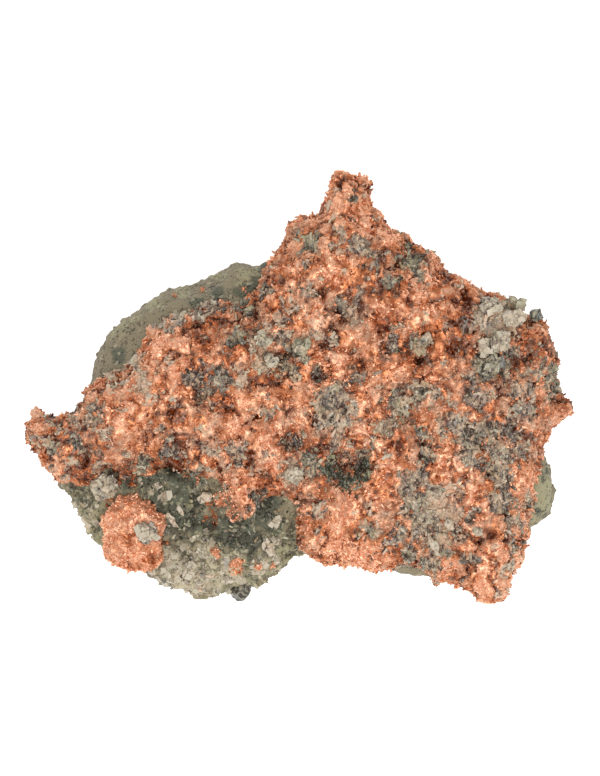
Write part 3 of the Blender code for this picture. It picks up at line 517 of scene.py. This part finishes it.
def crust_relief(points, facing_up):
    """How far the copper stands out, in mm: nodules and crumbs, cut by crevices, with sunken veins.

    The crevices, the veins and their edges, the pits and the crumbs' lots come with it, for the looks.
    """
    drawn_out = points * (1.0, CRUST_GRAIN, 1.0)
    nodule, nodule_gap, _ = cells(drawn_out, NODULE, 21)
    lump, lump_gap, _ = cells(drawn_out, LUMP, 22)
    crumb, _, crumb_lot = cells(points, CRUMB, 23)
    copper = 0.5 * (0.5 - nodule) + 0.35 * (0.45 - lump) + 0.3 * (0.45 - crumb) + 0.1 * crumb_lot
    copper += 0.55 * swell(drawn_out, 2.8, 39) + 0.35 * swell(drawn_out, 1.3, 40)
    crevice = (1 - step(nodule_gap, 0.0, 0.16)) * step(swell(points, 6.0, 24), -0.2, 0.2)
    crevice += 0.5 * (1 - step(lump_gap, 0.0, 0.16)) * step(swell(points, 3.5, 36), -0.1, 0.3)
    vein = vein_share(points)
    edge = np.exp(-(((vein - 0.45) / 0.3) ** 2)) * step(swell(points, 3.0, 25), -0.3, 0.2)
    pits = np.array([row[3] * bell(points, *row[:3]) for row in PITS]).max(axis=0) * facing_up
    raised = (1 - vein) * (copper - 0.8 * crevice) - 0.45 * edge
    raised -= vein * (0.4 + 0.45 * crumb - 0.45 * crumb_lot - 0.5 * swell(drawn_out, 1.5, 29))
    return raised, crevice, edge, vein, pits, crumb_lot


def copper_tone(points):
    """How bright the copper is, 0 to 1: red where it is stained, and pale where highlight is painted on
    it.
    """
    moved = wander(points, 1.6, 2.4, 35)
    drawn_out = points * (1.0, CRUST_GRAIN, 1.0)
    tone = 0.53 + 0.32 * spots(moved, PAINTED_HIGHLIGHTS) - 0.34 * spots(moved, RED_COPPER)
    return tone + 0.27 * swell(drawn_out, 3.6, 31) + 0.22 * swell(drawn_out, 1.4, 32)


def copper_stain(points):
    """How far the minerals beside the copper are stained pink by it, 0 to 1."""
    return 0.4 + 0.5 * swell(points, 2.4, 37) + 0.35 * swell(points, 0.9, 38)


def dust_share(points, tone):
    """How far pale mineral dust dulls the copper, 0 to 0.8: least where highlight is painted on it, or
    where it is red.
    """
    drift = 0.2 + 0.55 * swell(points, 3.4, 26) + 0.45 * swell(points, 1.3, 27)
    drift -= 0.35 * spots(points, PAINTED_HIGHLIGHTS) + 0.5 * spots(points, RED_COPPER)
    return np.clip(drift, 0, 0.8) * step(tone, 0.0, 0.45)


crust = shape_of("native_copper", ["copper_crust"], CRUST_CELL, CRUST_ROUNDING)
points, outward = points_of(crust), outward_of(crust)
faces_up = step(outward[:, 2], -0.5, 0.1)
raised, crevice, edge, vein, pits, lot = crust_relief(points, faces_up)
raised += edge_shift(points, outward, CRUST_EDGES)
worked = points + ((0.35 + 0.65 * faces_up) * raised - CRUST_SINK)[:, None] * outward
worked[:, 2] -= pits
set_points(crust, worked)
# painted shade: tone and paleness drop in crevices, pits and vein edges; painted highlight: tone rises
# on raised copper
recess_shade = step(0.6 * crevice + 0.9 * edge + 0.6 * pits - 0.35 * raised, 0.35, 1.1)
tone = copper_tone(points) + 0.25 * raised + 0.12 * lot - 0.4 * recess_shade
set_attribute(crust, "tone", tone)
set_attribute(crust, "vein", np.maximum(vein, dust_share(points, tone)))
set_attribute(crust, "pale", vein_paleness(points) + 0.15 * lot - 0.5 * recess_shade)
greenness = vein_greenness(points) * step(vein, 0.3, 0.8)
set_attribute(crust, "green", greenness)
set_attribute(crust, "stain", copper_stain(points) * (1 - greenness))
crust.data.shade_smooth()


def vein_colour(tree, place):
    """Vein mineral from dark to pale, in its grey, green and copper-stained kinds, finely speckled."""
    warp = add(tree, "VectorMath", {0: place, 1: (1.0, 0.5, 1.0)}, operation="MULTIPLY").outputs[0]
    speck = add(
        tree,
        "TexNoise",
        {"Vector": warp, "Scale": 1 / (VEIN_GRAIN * MM), "Detail": 3.0, "Distortion": 1.8},
    )
    shift = add(tree, "MapRange", {0: speck.outputs["Fac"], 1: 0.32, 2: 0.68, 3: -0.34, 4: 0.34})
    pale = add(tree, "Attribute", attribute_name="pale")
    level = add(tree, "Math", {0: pale.outputs["Fac"], 1: shift.outputs[0]}, operation="ADD")
    return layered_colour(
        tree,
        level.outputs[0],
        [(0.0, "#382B20"), (1.0, "#EFE9DF"), (0.3, "#827460"), (0.6, "#B3A895")],
        [
            ("green", [(0.0, "#26281A"), (1.0, "#D0CEB4"), (0.3, "#5F5E42"), (0.6, "#949172")]),
            ("stain", [(0.0, "#4A2415"), (1.0, "#EACDB6"), (0.3, "#8A5A3E"), (0.6, "#BE9272")]),
        ],
    )


def copper_colour(tree, place):
    """Copper from the red-brown of its crevices to the pale pink of its tips, by its tone, which
    carries painted shade in the crevices and painted highlight on the raised tips.
    """
    drift = add(tree, "TexNoise", {"Vector": place, "Scale": 1 / (TARNISH * MM), "Detail": 3.0})
    shift = add(tree, "MapRange", {0: drift.outputs["Fac"], 1: 0.3, 2: 0.7, 3: -0.12, 4: 0.12})
    tone = add(tree, "Attribute", attribute_name="tone")
    level = add(tree, "Math", {0: tone.outputs["Fac"], 1: shift.outputs[0]}, operation="ADD")
    return add(
        tree,
        "ValToRGB",
        {"Fac": level.outputs[0]},
        stops=[
            (0.0, "#5A2611"),
            (1.0, "#F8D3BA"),
            (0.25, "#A15834"),
            (0.5, "#CC8B63"),
            (0.75, "#E6B292"),
        ],
    ).outputs[0]


def copper_material():
    """Native copper, cleaned: bare metal that reflects softly, mixed with vein mineral and pale dust,
    and with painted shade in its hollows, carried by its tone.
    """
    material, tree, metal = new_material("Native copper, hackly")
    place = add(tree, "TexCoord").outputs["Object"]
    tree.links.new(copper_colour(tree, place), metal.inputs["Base Color"])
    metal.inputs["Metallic"].default_value = 1.0
    fine = add(tree, "TexNoise", {"Vector": place, "Scale": 1 / (HACKLE * MM), "Detail": 3.0})
    worn = add(tree, "MapRange", {0: fine.outputs["Fac"], 1: 0.35, 2: 0.65, 3: 0.72, 4: 0.48})
    tree.links.new(worn.outputs[0], metal.inputs["Roughness"])
    bump = add(
        tree, "Bump", {"Strength": 0.7, "Distance": 0.12 * MM, "Height": fine.outputs["Fac"]}
    )
    tree.links.new(bump.outputs["Normal"], metal.inputs["Normal"])
    stone = add(
        tree,
        "BsdfPrincipled",
        {
            "Base Color": vein_colour(tree, place),
            "Roughness": 0.6,
            "Normal": bump.outputs["Normal"],
        },
    )
    share = add(tree, "Attribute", attribute_name="vein")
    mixed = add(
        tree, "MixShader", {0: share.outputs["Fac"], 1: metal.outputs[0], 2: stone.outputs[0]}
    )
    tree.links.new(mixed.outputs[0], tree.nodes["Material Output"].inputs["Surface"])
    return material


native_copper = copper_material()
crust.data.materials.append(native_copper)
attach(crust, "root")
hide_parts("copper_crust")

# ---- Copper boss and beads --------------------------------------------------------------------------
# Rounded lumps of the same copper, grown on the bare rock beside the crust: one as wide as a thumb
# nail, and three beads. They are finer and brighter than the crust, and their knobs carry painted
# highlight.
BOSS_CELL = 0.25
BOSS_ROUNDING = 4
KNOB, BUD = 3.4, 1.2  # widths of its knobs and of the buds on them
BOSS_EDGES = [(-38.2, -34.2, 2.4, 1.7)]  # (x, y, radius, how far its edge moves out)


def lump_relief(points):
    """How far the boss and the beads stand out, in mm: buds on rounded knobs."""
    return (0.45 - cells(points, KNOB, 41)[0]) + 0.4 * (0.45 - cells(points, BUD, 42)[0])


lumps = ["copper_boss", "copper_bead_1", "copper_bead_2", "copper_bead_3"]
boss = shape_of("boss_and_beads", lumps, BOSS_CELL, BOSS_ROUNDING)
points, outward = points_of(boss), outward_of(boss)
raised = lump_relief(points)
corner = edge_shift(points, outward, BOSS_EDGES)
set_points(boss, points + (raised + corner - 0.15)[:, None] * outward)
# painted highlight: the copper is painted brighter where its knobs and buds stand out
tone = 0.74 + 0.5 * raised + 0.15 * swell(points, 2.5, 43) - 0.3 * spots(points, RED_COPPER)
set_attribute(boss, "tone", tone)
set_attribute(boss, "vein", 0.05 + 0.4 * swell(points, 2.0, 44))
set_attribute(boss, "pale", 0.8 + 0 * raised)
set_attribute(boss, "stain", 0.5 + 0 * raised)
boss.data.shade_smooth()
boss.data.materials.append(native_copper)
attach(boss, "root")
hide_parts(*lumps)

# ---- Copper points ----------------------------------------------------------------------------------
# The copper's hackly skin: tiny blunt crystals and wires, a quarter to three quarters of a millimetre
# thick, that grow out of the lumps in short branches, and as specks on the bare rock. Each is a small
# faceted solid, copied in arrays.
POINT_DENSITY = 3.6  # seats on each square millimetre
POINT_SIZES = (0.11, 0.38)  # half widths
POINT_GENERATIONS = 2  # most crystals on a branch
BRANCHING = 0.3  # share of the crystals that another grows out of
POINT_FLANK = -0.45  # they grow where the copper faces at least this much upwards
SIDE_SEAMS = [-20.0, 3.0, 24.0]  # x where the skin is parted into its four pieces
# (x, y, radius, tone) of the copper specks on the bare rock
ROCK_SPECKS = [
    (-37.6, -22.8, 1.4, 0.3), (-35.6, -18.4, 1.4, 0.25), (-33.0, -34.6, 1.6, 0.5),
    (-33.0, -18.4, 1.6, 0.3), (-30.0, -35.4, 2.0, 0.35), (-28.6, -15.8, 1.8, 0.35),
    (-27.0, -30.6, 1.4, 0.3), (-25.0, 18.6, 0.6, 0.6), (-22.0, -16.6, 1.8, 0.6),
    (-20.2, -17.8, 1.4, 0.6), (-19.0, 19.4, 0.7, 0.6), (-17.6, -23.4, 1.6, 0.3),
    (-17.4, -26.0, 1.8, 0.2), (-16.6, -32.8, 1.3, 0.6), (-14.6, -22.4, 2.6, 0.85),
    (-12.6, -36.6, 1.4, 0.6), (-12.6, -25.0, 2.2, 0.75), (-11.0, 19.6, 0.9, 0.6),
    (-8.2, -35.6, 0.8, 0.7), (-5.0, -35.6, 0.7, 0.7),
]


def small_solids(dice, count, shape):
    """Some irregular little solids, each with its widest point about 1 from its middle."""
    solids = []
    for _ in range(count):
        bm = bmesh.new()
        if shape == "cube":
            bmesh.ops.create_cube(bm, size=1.4)
        else:
            bmesh.ops.create_icosphere(bm, subdivisions=1, radius=1.0)
        bmesh.ops.triangulate(bm, faces=bm.faces)
        corners = np.array([v.co for v in bm.verts]) * dice.uniform(0.7, 1.15, (len(bm.verts), 1))
        solids.append((corners, np.array([[v.index for v in f.verts] for f in bm.faces])))
        bm.free()
    return solids


def seats_on(piece, density, dice):
    """Places scattered evenly on a piece's surface, with the way that each faces."""
    piece.data.calc_loop_triangles()
    corners = np.empty(len(piece.data.loop_triangles) * 3, np.int32)
    piece.data.loop_triangles.foreach_get("vertices", corners)
    a, b, c = points_of(piece)[corners.reshape(-1, 3).T]
    across = np.cross(b - a, c - a)
    area = np.linalg.norm(across, axis=1) / 2
    picks = dice.choice(len(area), int(density * area.sum()), p=area / area.sum())
    u, v = dice.random((2, len(picks), 1))
    folded = u + v > 1
    u, v = np.where(folded, 1 - u, u), np.where(folded, 1 - v, v)
    places = a[picks] + u * (b - a)[picks] + v * (c - a)[picks]
    return places, across[picks] / (2 * area[picks, None])


def unit(vectors):
    """These vectors, each one long."""
    return vectors / np.linalg.norm(vectors, axis=1)[:, None]


def strew(name, solids, places, axes, widths, lengths, looks, dice):
    """One piece with a small solid at each place, its length along the axis, as joined arrays.

    A solid that would leave the CAD solids' box is left out.
    """
    aside = unit(np.cross(axes, dice.normal(size=axes.shape)))
    turns = np.stack([aside, np.cross(axes, aside), axes], axis=2)
    kinds = dice.integers(len(solids), size=len(places))
    reach = np.maximum(widths, lengths)[:, None]
    clear = (places - reach > np.array(cad_low) / MM) & (places + reach < np.array(cad_high) / MM)
    clear = clear.all(axis=1)
    all_points, all_faces, owners, start = [], [], [], 0
    for kind, (corners, faces) in enumerate(solids):
        chosen = np.flatnonzero((kinds == kind) & clear)
        sizes = np.stack([widths, widths, lengths], axis=1)[chosen, None]
        shaped = np.einsum("nij,nkj->nki", turns[chosen], corners * sizes)
        all_points.append((shaped + places[chosen, None]).reshape(-1, 3))
        rows = faces + len(corners) * np.arange(len(chosen))[:, None, None] + start
        all_faces.append(rows.reshape(-1, 3))
        owners.append(np.repeat(chosen, len(corners)))
        start += len(all_points[-1])
    mesh = bpy.data.meshes.new(name)
    mesh.from_pydata(np.concatenate(all_points) * MM, [], np.concatenate(all_faces))
    piece = bpy.data.objects.new(name, mesh)
    bpy.context.scene.collection.objects.link(piece)
    for look, values in looks.items():
        set_attribute(piece, look, values[np.concatenate(owners)])
    return piece


dice = np.random.default_rng(5)
crystals = small_solids(dice, 6, "ball") + small_solids(dice, 4, "cube")
places, facing = seats_on(crust, POINT_DENSITY, dice)
keep = facing[:, 2] > POINT_FLANK
places, facing = places[keep], facing[keep]
copper_here = dice.random(len(places)) > 0.98 * vein_share(places)
vein_places, vein_facing = places[~copper_here], facing[~copper_here]
places, facing = places[copper_here], facing[copper_here]
raised, crevice, edge, _, pits, lot = crust_relief(places, np.ones(len(places)))
open_crevice = dice.random(len(places)) < 0.85 * crevice
# painted shade: the points are darker in pits, crevices and at vein edges; painted highlight: brighter
# on raised copper
tone = copper_tone(places) - 0.3 * np.clip(pits, 0, 1.2)
tone += 0.2 * raised - 0.3 * edge - 0.4 * crevice + 0.1 * lot
boss_places, boss_facing = seats_on(boss, 1.2 * POINT_DENSITY, dice)
# painted highlight: the boss's points are painted brighter where its knobs and buds stand out
boss_tone = 0.76 + 0.3 * swell(boss_places, 1.5, 33) + 0.4 * lump_relief(boss_places)
boss_tone -= 0.34 * spots(boss_places, RED_COPPER)
rock_places, rock_facing = seats_on(rock, POINT_DENSITY, dice)
speck_share = spots(rock_places, ROCK_SPECKS) + 0.3 * swell(rock_places, 1.4, 34)
speckled = (speck_share > 0.5) & (rock_facing[:, 2] > 0)
rock_tone = nearby(rock_places[speckled], ROCK_SPECKS, 3)
places = np.concatenate([places[~open_crevice], boss_places, rock_places[speckled]])
facing = np.concatenate([facing[~open_crevice], boss_facing, rock_facing[speckled]])
tone = np.concatenate([tone[~open_crevice], boss_tone, rock_tone])
dust = dust_share(places, tone)
dust[-len(boss_places) - len(rock_tone) :] -= 0.25
branches = []
axes = unit(0.5 * facing + 0.6 * dice.normal(size=facing.shape))
low, high = POINT_SIZES
widths = low + (high - low) * dice.random(len(places)) ** 2
for generation in range(POINT_GENERATIONS):
    lengths = widths * dice.uniform(1.0, 2.6, len(places))
    middles = places + (0.4 * generation) * lengths[:, None] * axes
    dark_grain = 0.2 * (dice.random(len(places)) < 0.1)
    # painted highlight: the later crystals, further out on a branch, are painted a little brighter
    tones = tone + 0.08 * dice.normal(size=len(places)) - dark_grain + 0.08 * generation
    dusty = dust + 0.08 * dice.normal(size=len(places))
    branches.append((middles, axes, widths, lengths, tones, dusty))
    growing = dice.random(len(places)) < BRANCHING
    places = (middles + 0.7 * lengths[:, None] * axes)[growing]
    axes = unit(axes + 0.7 * dice.normal(size=axes.shape))[growing]
    widths, tone, dust = 0.75 * widths[growing], tone[growing], dust[growing]
middles, axes, widths, lengths, tones, dusty = (np.concatenate(column) for column in zip(*branches))
sides = np.searchsorted(SIDE_SEAMS, middles[:, 0])
for side, name in enumerate(("arm", "middle", "ridge", "right")):
    own = sides == side
    piece = strew(
        "copper_points_" + name,
        crystals,
        middles[own],
        axes[own],
        widths[own],
        lengths[own],
        {
            "tone": tones[own],
            "vein": dusty[own],
            "pale": 0.75 + 0.1 * tones[own],
            "stain": 0.5 + 0 * tones[own],
        },
        dice,
    )
    piece.data.materials.append(native_copper)
    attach(piece, "root")

# ---- Vein minerals ----------------------------------------------------------------------------------
# Broken grains of calcite, quartz, prehnite and chlorite, which fill the copper's sponge in patches
# and crumble on the rough rock. Each is a small dull solid, copied in arrays.
VEIN_SIZES = (0.1, 0.45)  # half widths

broken_bits = small_solids(dice, 4, "ball") + small_solids(dice, 6, "cube")
crumbly = np.maximum(spots(rock_places, CREAM_ROCK), 0.6 * spots(rock_places, ROUGH_ROCK))
crumbly = (dice.random(len(rock_places)) < 0.6 * crumbly) & (rock_facing[:, 2] > 0.3) & ~speckled
rock_crumbs = rock_places[crumbly]
crumb_pale = 0.4 + 0.42 * spots(rock_crumbs, CREAM_ROCK) - 0.35 * spots(rock_crumbs, GREEN_ROCK)
crumb_green = 0.9 - 0.7 * spots(rock_crumbs, CREAM_ROCK)
paleness = np.concatenate([vein_paleness(vein_places) + 0.02, crumb_pale])
greenness = np.concatenate([vein_greenness(vein_places), crumb_green])
stains = np.concatenate([copper_stain(vein_places), 0 * crumb_pale])
places = np.concatenate([vein_places, rock_crumbs])
axes = np.concatenate([vein_facing, rock_facing[crumbly]])
axes = unit(np.cross(axes, dice.normal(size=axes.shape)) + 0.3 * dice.normal(size=axes.shape))
low, high = VEIN_SIZES
widths = low + (high - low) * dice.random(len(axes)) ** 1.7
lengths = widths * dice.uniform(1.0, 4.0, len(axes)) * np.minimum(1, 0.4 / widths) ** 0.5
vein_grains = strew(
    "vein_minerals",
    broken_bits,
    places,
    axes,
    widths,
    lengths,
    {
        "pale": paleness + 0.15 * cells(places, CRUMB, 23)[2] + 0.2 * dice.normal(size=len(axes)),
        "green": greenness + 0.2 * dice.normal(size=len(axes)),
        "stain": stains * (1 - greenness) + 0.15 * dice.normal(size=len(axes)),
    },
    dice,
)


def vein_material():
    """Vein minerals, broken: dull to waxy grains and crystals, mostly grey, some green or pink."""
    material, tree, shader = new_material("Vein minerals, broken")
    place = add(tree, "TexCoord").outputs["Object"]
    tree.links.new(vein_colour(tree, place), shader.inputs["Base Color"])
    shader.inputs["Roughness"].default_value = 0.5
    return material


vein_stone = vein_material()
vein_grains.data.materials.append(vein_stone)
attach(vein_grains, "root")

# ---- Crystals ---------------------------------------------------------------------------------------
# The larger crystals, set in the copper and on the rock: calcite in blocky cleaved pieces, quartz in
# stubby grains, prehnite in pale green knots, and two dark chips of chlorite. Each is chipped and
# cracked, and the clusters and the crumbling rock bear smaller ones, the shards.
CRYSTAL_CELL = 0.2
CRYSTAL_ROUNDING = 1
CLEAVAGE, SPLINTER = 1.9, 0.8  # widths of the blocks and splinters that the crystals crack into
SHARD_DENSITY = 0.8  # on each square millimetre of the crystals that are clusters
SHARD_SIZES = (0.3, 0.95)  # half widths
ROCK_GRAIN_SHARE = 0.22  # of the rock's seats, where it crumbles most, that hold a pale grain
ROCK_GRAIN_LOOK = (0.68, 0.2, 1.0)
# (x, y, radius, how far a crystal's edge moves out)
CRYSTAL_EDGES = [
    (-11.8, -41.4, 3.6, 1.3), (46.8, 15.8, 1.0, 0.9), (48.6, 15.6, 1.0, -1.0), (43.4, 18.4, 1.8, -0.7),
]
# each crystal's paleness and greenness, and whether it is a cluster that bears smaller ones
CALCITE = {
    "calcite_blade_1": (0.92, 0.0, False),
    "calcite_blade_2": (0.8, 0.0, False),
    "calcite_cluster": (0.56, 0.2, True),
    "calcite_grain_1": (0.95, 0.0, False),
    "calcite_grain_2": (0.7, 0.1, True),
    "calcite_grain_3": (0.55, 0.2, True),
    "calcite_grain_4": (0.6, 0.1, True),
    "calcite_in_boss": (0.6, 0.1, True),
    "calcite_lath_1": (0.95, 0.0, False),
    "calcite_lath_2": (0.92, 0.0, False),
    "calcite_lath_3": (0.72, 0.0, False),
    "calcite_lath_4": (0.54, 0.0, False),
}
QUARTZ = {
    "quartz_grain_1": (0.74, 0.0, True),
    "quartz_grain_2": (0.6, 0.5, True),
    "quartz_grain_3": (0.8, 0.0, True),
    "quartz_grain_4": (0.58, 0.1, True),
    "quartz_grain_5": (0.3, 0.5, True),
    "quartz_grain_6": (0.46, 0.1, True),
}
PREHNITE = {
    "prehnite_grain_1": (0.62, 0.3, True),
    "prehnite_grain_2": (0.6, 0.1, True),
    "prehnite_grain_3": (0.5, 0.6, True),
    "prehnite_grain_4": (0.64, 0.1, True),
}
CHLORITE = {"chlorite_block": (0.04, 0.6, False), "chlorite_point": (0.06, 0.8, False)}


def middle_of(node_name):
    """The middle of a CAD solid, in millimetres."""
    corners = np.array([v.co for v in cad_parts[node_name].data.vertices])
    return (corners.min(axis=0) + corners.max(axis=0)) / 2 / MM


shard_seats = []
# wear is how far a mineral chips, cracks and takes up stain
for slot, looks, wear in (
    ("calcite", CALCITE, 1.0),
    ("quartz", QUARTZ, 1.0),
    ("prehnite", PREHNITE, 1.0),
    ("chlorite", CHLORITE, 0.4),
):
    piece = shape_of(slot + "_crystals", list(looks), CRYSTAL_CELL, CRYSTAL_ROUNDING)
    points, outward = points_of(piece), outward_of(piece)
    middles = np.array([middle_of(name) for name in looks])
    look = np.array(list(looks.values()), float)
    own = look[np.linalg.norm(points[:, None] - middles, axis=2).argmin(axis=1)]
    _, crack, lot = cells(points, CLEAVAGE, 61)
    cracked = wear * (1 - step(crack, 0.0, 0.13))
    chip_lot = cells(points, SPLINTER, 62)[2]
    chipped = wear * (0.3 * lot + 0.12 * chip_lot + 0.35 * swell(points, 1.8, 65)) - 0.2 * cracked
    chipped += edge_shift(points, outward, CRYSTAL_EDGES)
    set_points(piece, points + chipped[:, None] * outward)
    mottled = 0.15 * lot + 0.28 * swell(points, 1.6, 63) + 0.32 * swell(points, 0.6, 67)
    # painted shade: the crystals are painted darker along their cracks
    set_attribute(piece, "pale", own[:, 0] + mottled - 0.4 * cracked)
    set_attribute(piece, "green", own[:, 1] + 0.3 * swell(points, 2.5, 64))
    set_attribute(piece, "stain", wear * (0.12 + 0.3 * swell(points, 1.7, 68)))
    piece.data.materials.append(vein_stone)
    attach(piece, "root")
    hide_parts(*looks)
    places, facing = seats_on(piece, SHARD_DENSITY, dice)
    own = look[np.linalg.norm(places[:, None] - middles, axis=2).argmin(axis=1)]
    clustered = own[:, 2] == 1
    shard_seats.append((places[clustered], facing[clustered], own[clustered]))
granular = dice.random(len(rock_places)) < ROCK_GRAIN_SHARE * spots(rock_places, CREAM_ROCK)
granular &= (rock_facing[:, 2] > 0.2) & ~speckled
grain_looks = np.tile(ROCK_GRAIN_LOOK, (granular.sum(), 1))
shard_seats.append((rock_places[granular], rock_facing[granular], grain_looks))
places, axes, own = (np.concatenate(column) for column in zip(*shard_seats))
axes = unit(axes + 0.7 * dice.normal(size=axes.shape))
low, high = SHARD_SIZES
widths = low + (high - low) * dice.random(len(axes)) ** 1.6
shards = strew(
    "crystal_shards",
    small_solids(dice, 6, "cube"),
    places,
    axes,
    widths,
    widths * dice.uniform(0.7, 1.8, len(axes)),
    {
        "pale": own[:, 0] + 0.24 * dice.normal(size=len(axes)),
        "green": own[:, 1],
        "stain": 0.1 * dice.normal(size=len(axes)),
    },
    dice,
)
shards.data.materials.append(vein_stone)
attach(shards, "root")

# ---- Studio -----------------------------------------------------------------------------------------
# A pale floor that glows a little, so that it stays near white under the specimen, soft light from all
# round with a broad lamp overhead and a little to the front, and a long lens that looks straight down.
FLOOR_SIDE = 3000.0
FLOOR_GLOW = 0.66
ROOM_LIGHT = 0.69
LAMP_PLACE = (30.0, -200.0, 850.0)
LAMP_SIDE = 450.0
LAMP_POWER = 6.6  # watts
LENS = 300.0
SENSOR = 36.0
VIEW_LONG_SIDE = 155.2  # what the view's long side takes in at the crust's rim
RIM_HEIGHT = 24.0
AIM = (0.40, -0.17)  # what the view is centred on

bm = bmesh.new()
bmesh.ops.create_grid(bm, x_segments=1, y_segments=1, size=FLOOR_SIDE / 2 * MM)
floor_mesh = bpy.data.meshes.new("floor")
bm.to_mesh(floor_mesh)
bm.free()
floor = bpy.data.objects.new("floor", floor_mesh)
bpy.context.scene.collection.objects.link(floor)
# matt white card, lit from behind, which gives the eye plain white with a faint soft shadow
sweep, _, shader = new_material("White sweep")
shader.inputs["Base Color"].default_value = linear("#F4F4F4")
shader.inputs["Roughness"].default_value = 0.9
shader.inputs["Emission Color"].default_value = linear("#FFFFFF")
shader.inputs["Emission Strength"].default_value = FLOOR_GLOW
floor.data.materials.append(sweep)

world = bpy.data.worlds.new("Soft studio")
world.use_nodes = True
room = world.node_tree.nodes["Background"]
room.inputs["Color"].default_value = linear("#FFFFFF")
room.inputs["Strength"].default_value = ROOM_LIGHT
bpy.context.scene.world = world

lamp_data = bpy.data.lights.new("Key", "AREA")
lamp_data.size = LAMP_SIDE * MM
lamp_data.energy = LAMP_POWER
lamp = bpy.data.objects.new("Key", lamp_data)
lamp.location = Vector(LAMP_PLACE) * MM
lamp.rotation_euler = (-Vector(LAMP_PLACE)).to_track_quat("-Z", "Y").to_euler()
bpy.context.scene.collection.objects.link(lamp)

camera_data = bpy.data.cameras.new("Camera")
camera_data.lens = LENS
camera_data.sensor_width = SENSOR
distance = VIEW_LONG_SIDE * LENS / SENSOR
camera = bpy.data.objects.new("Camera", camera_data)
camera.location = (AIM[0] * MM, AIM[1] * MM, (RIM_HEIGHT + distance) * MM)
camera_data.clip_start, camera_data.clip_end = 0.05, 10.0
bpy.context.scene.collection.objects.link(camera)
bpy.context.scene.camera = camera
bpy.context.scene.view_settings.view_transform = "Standard"
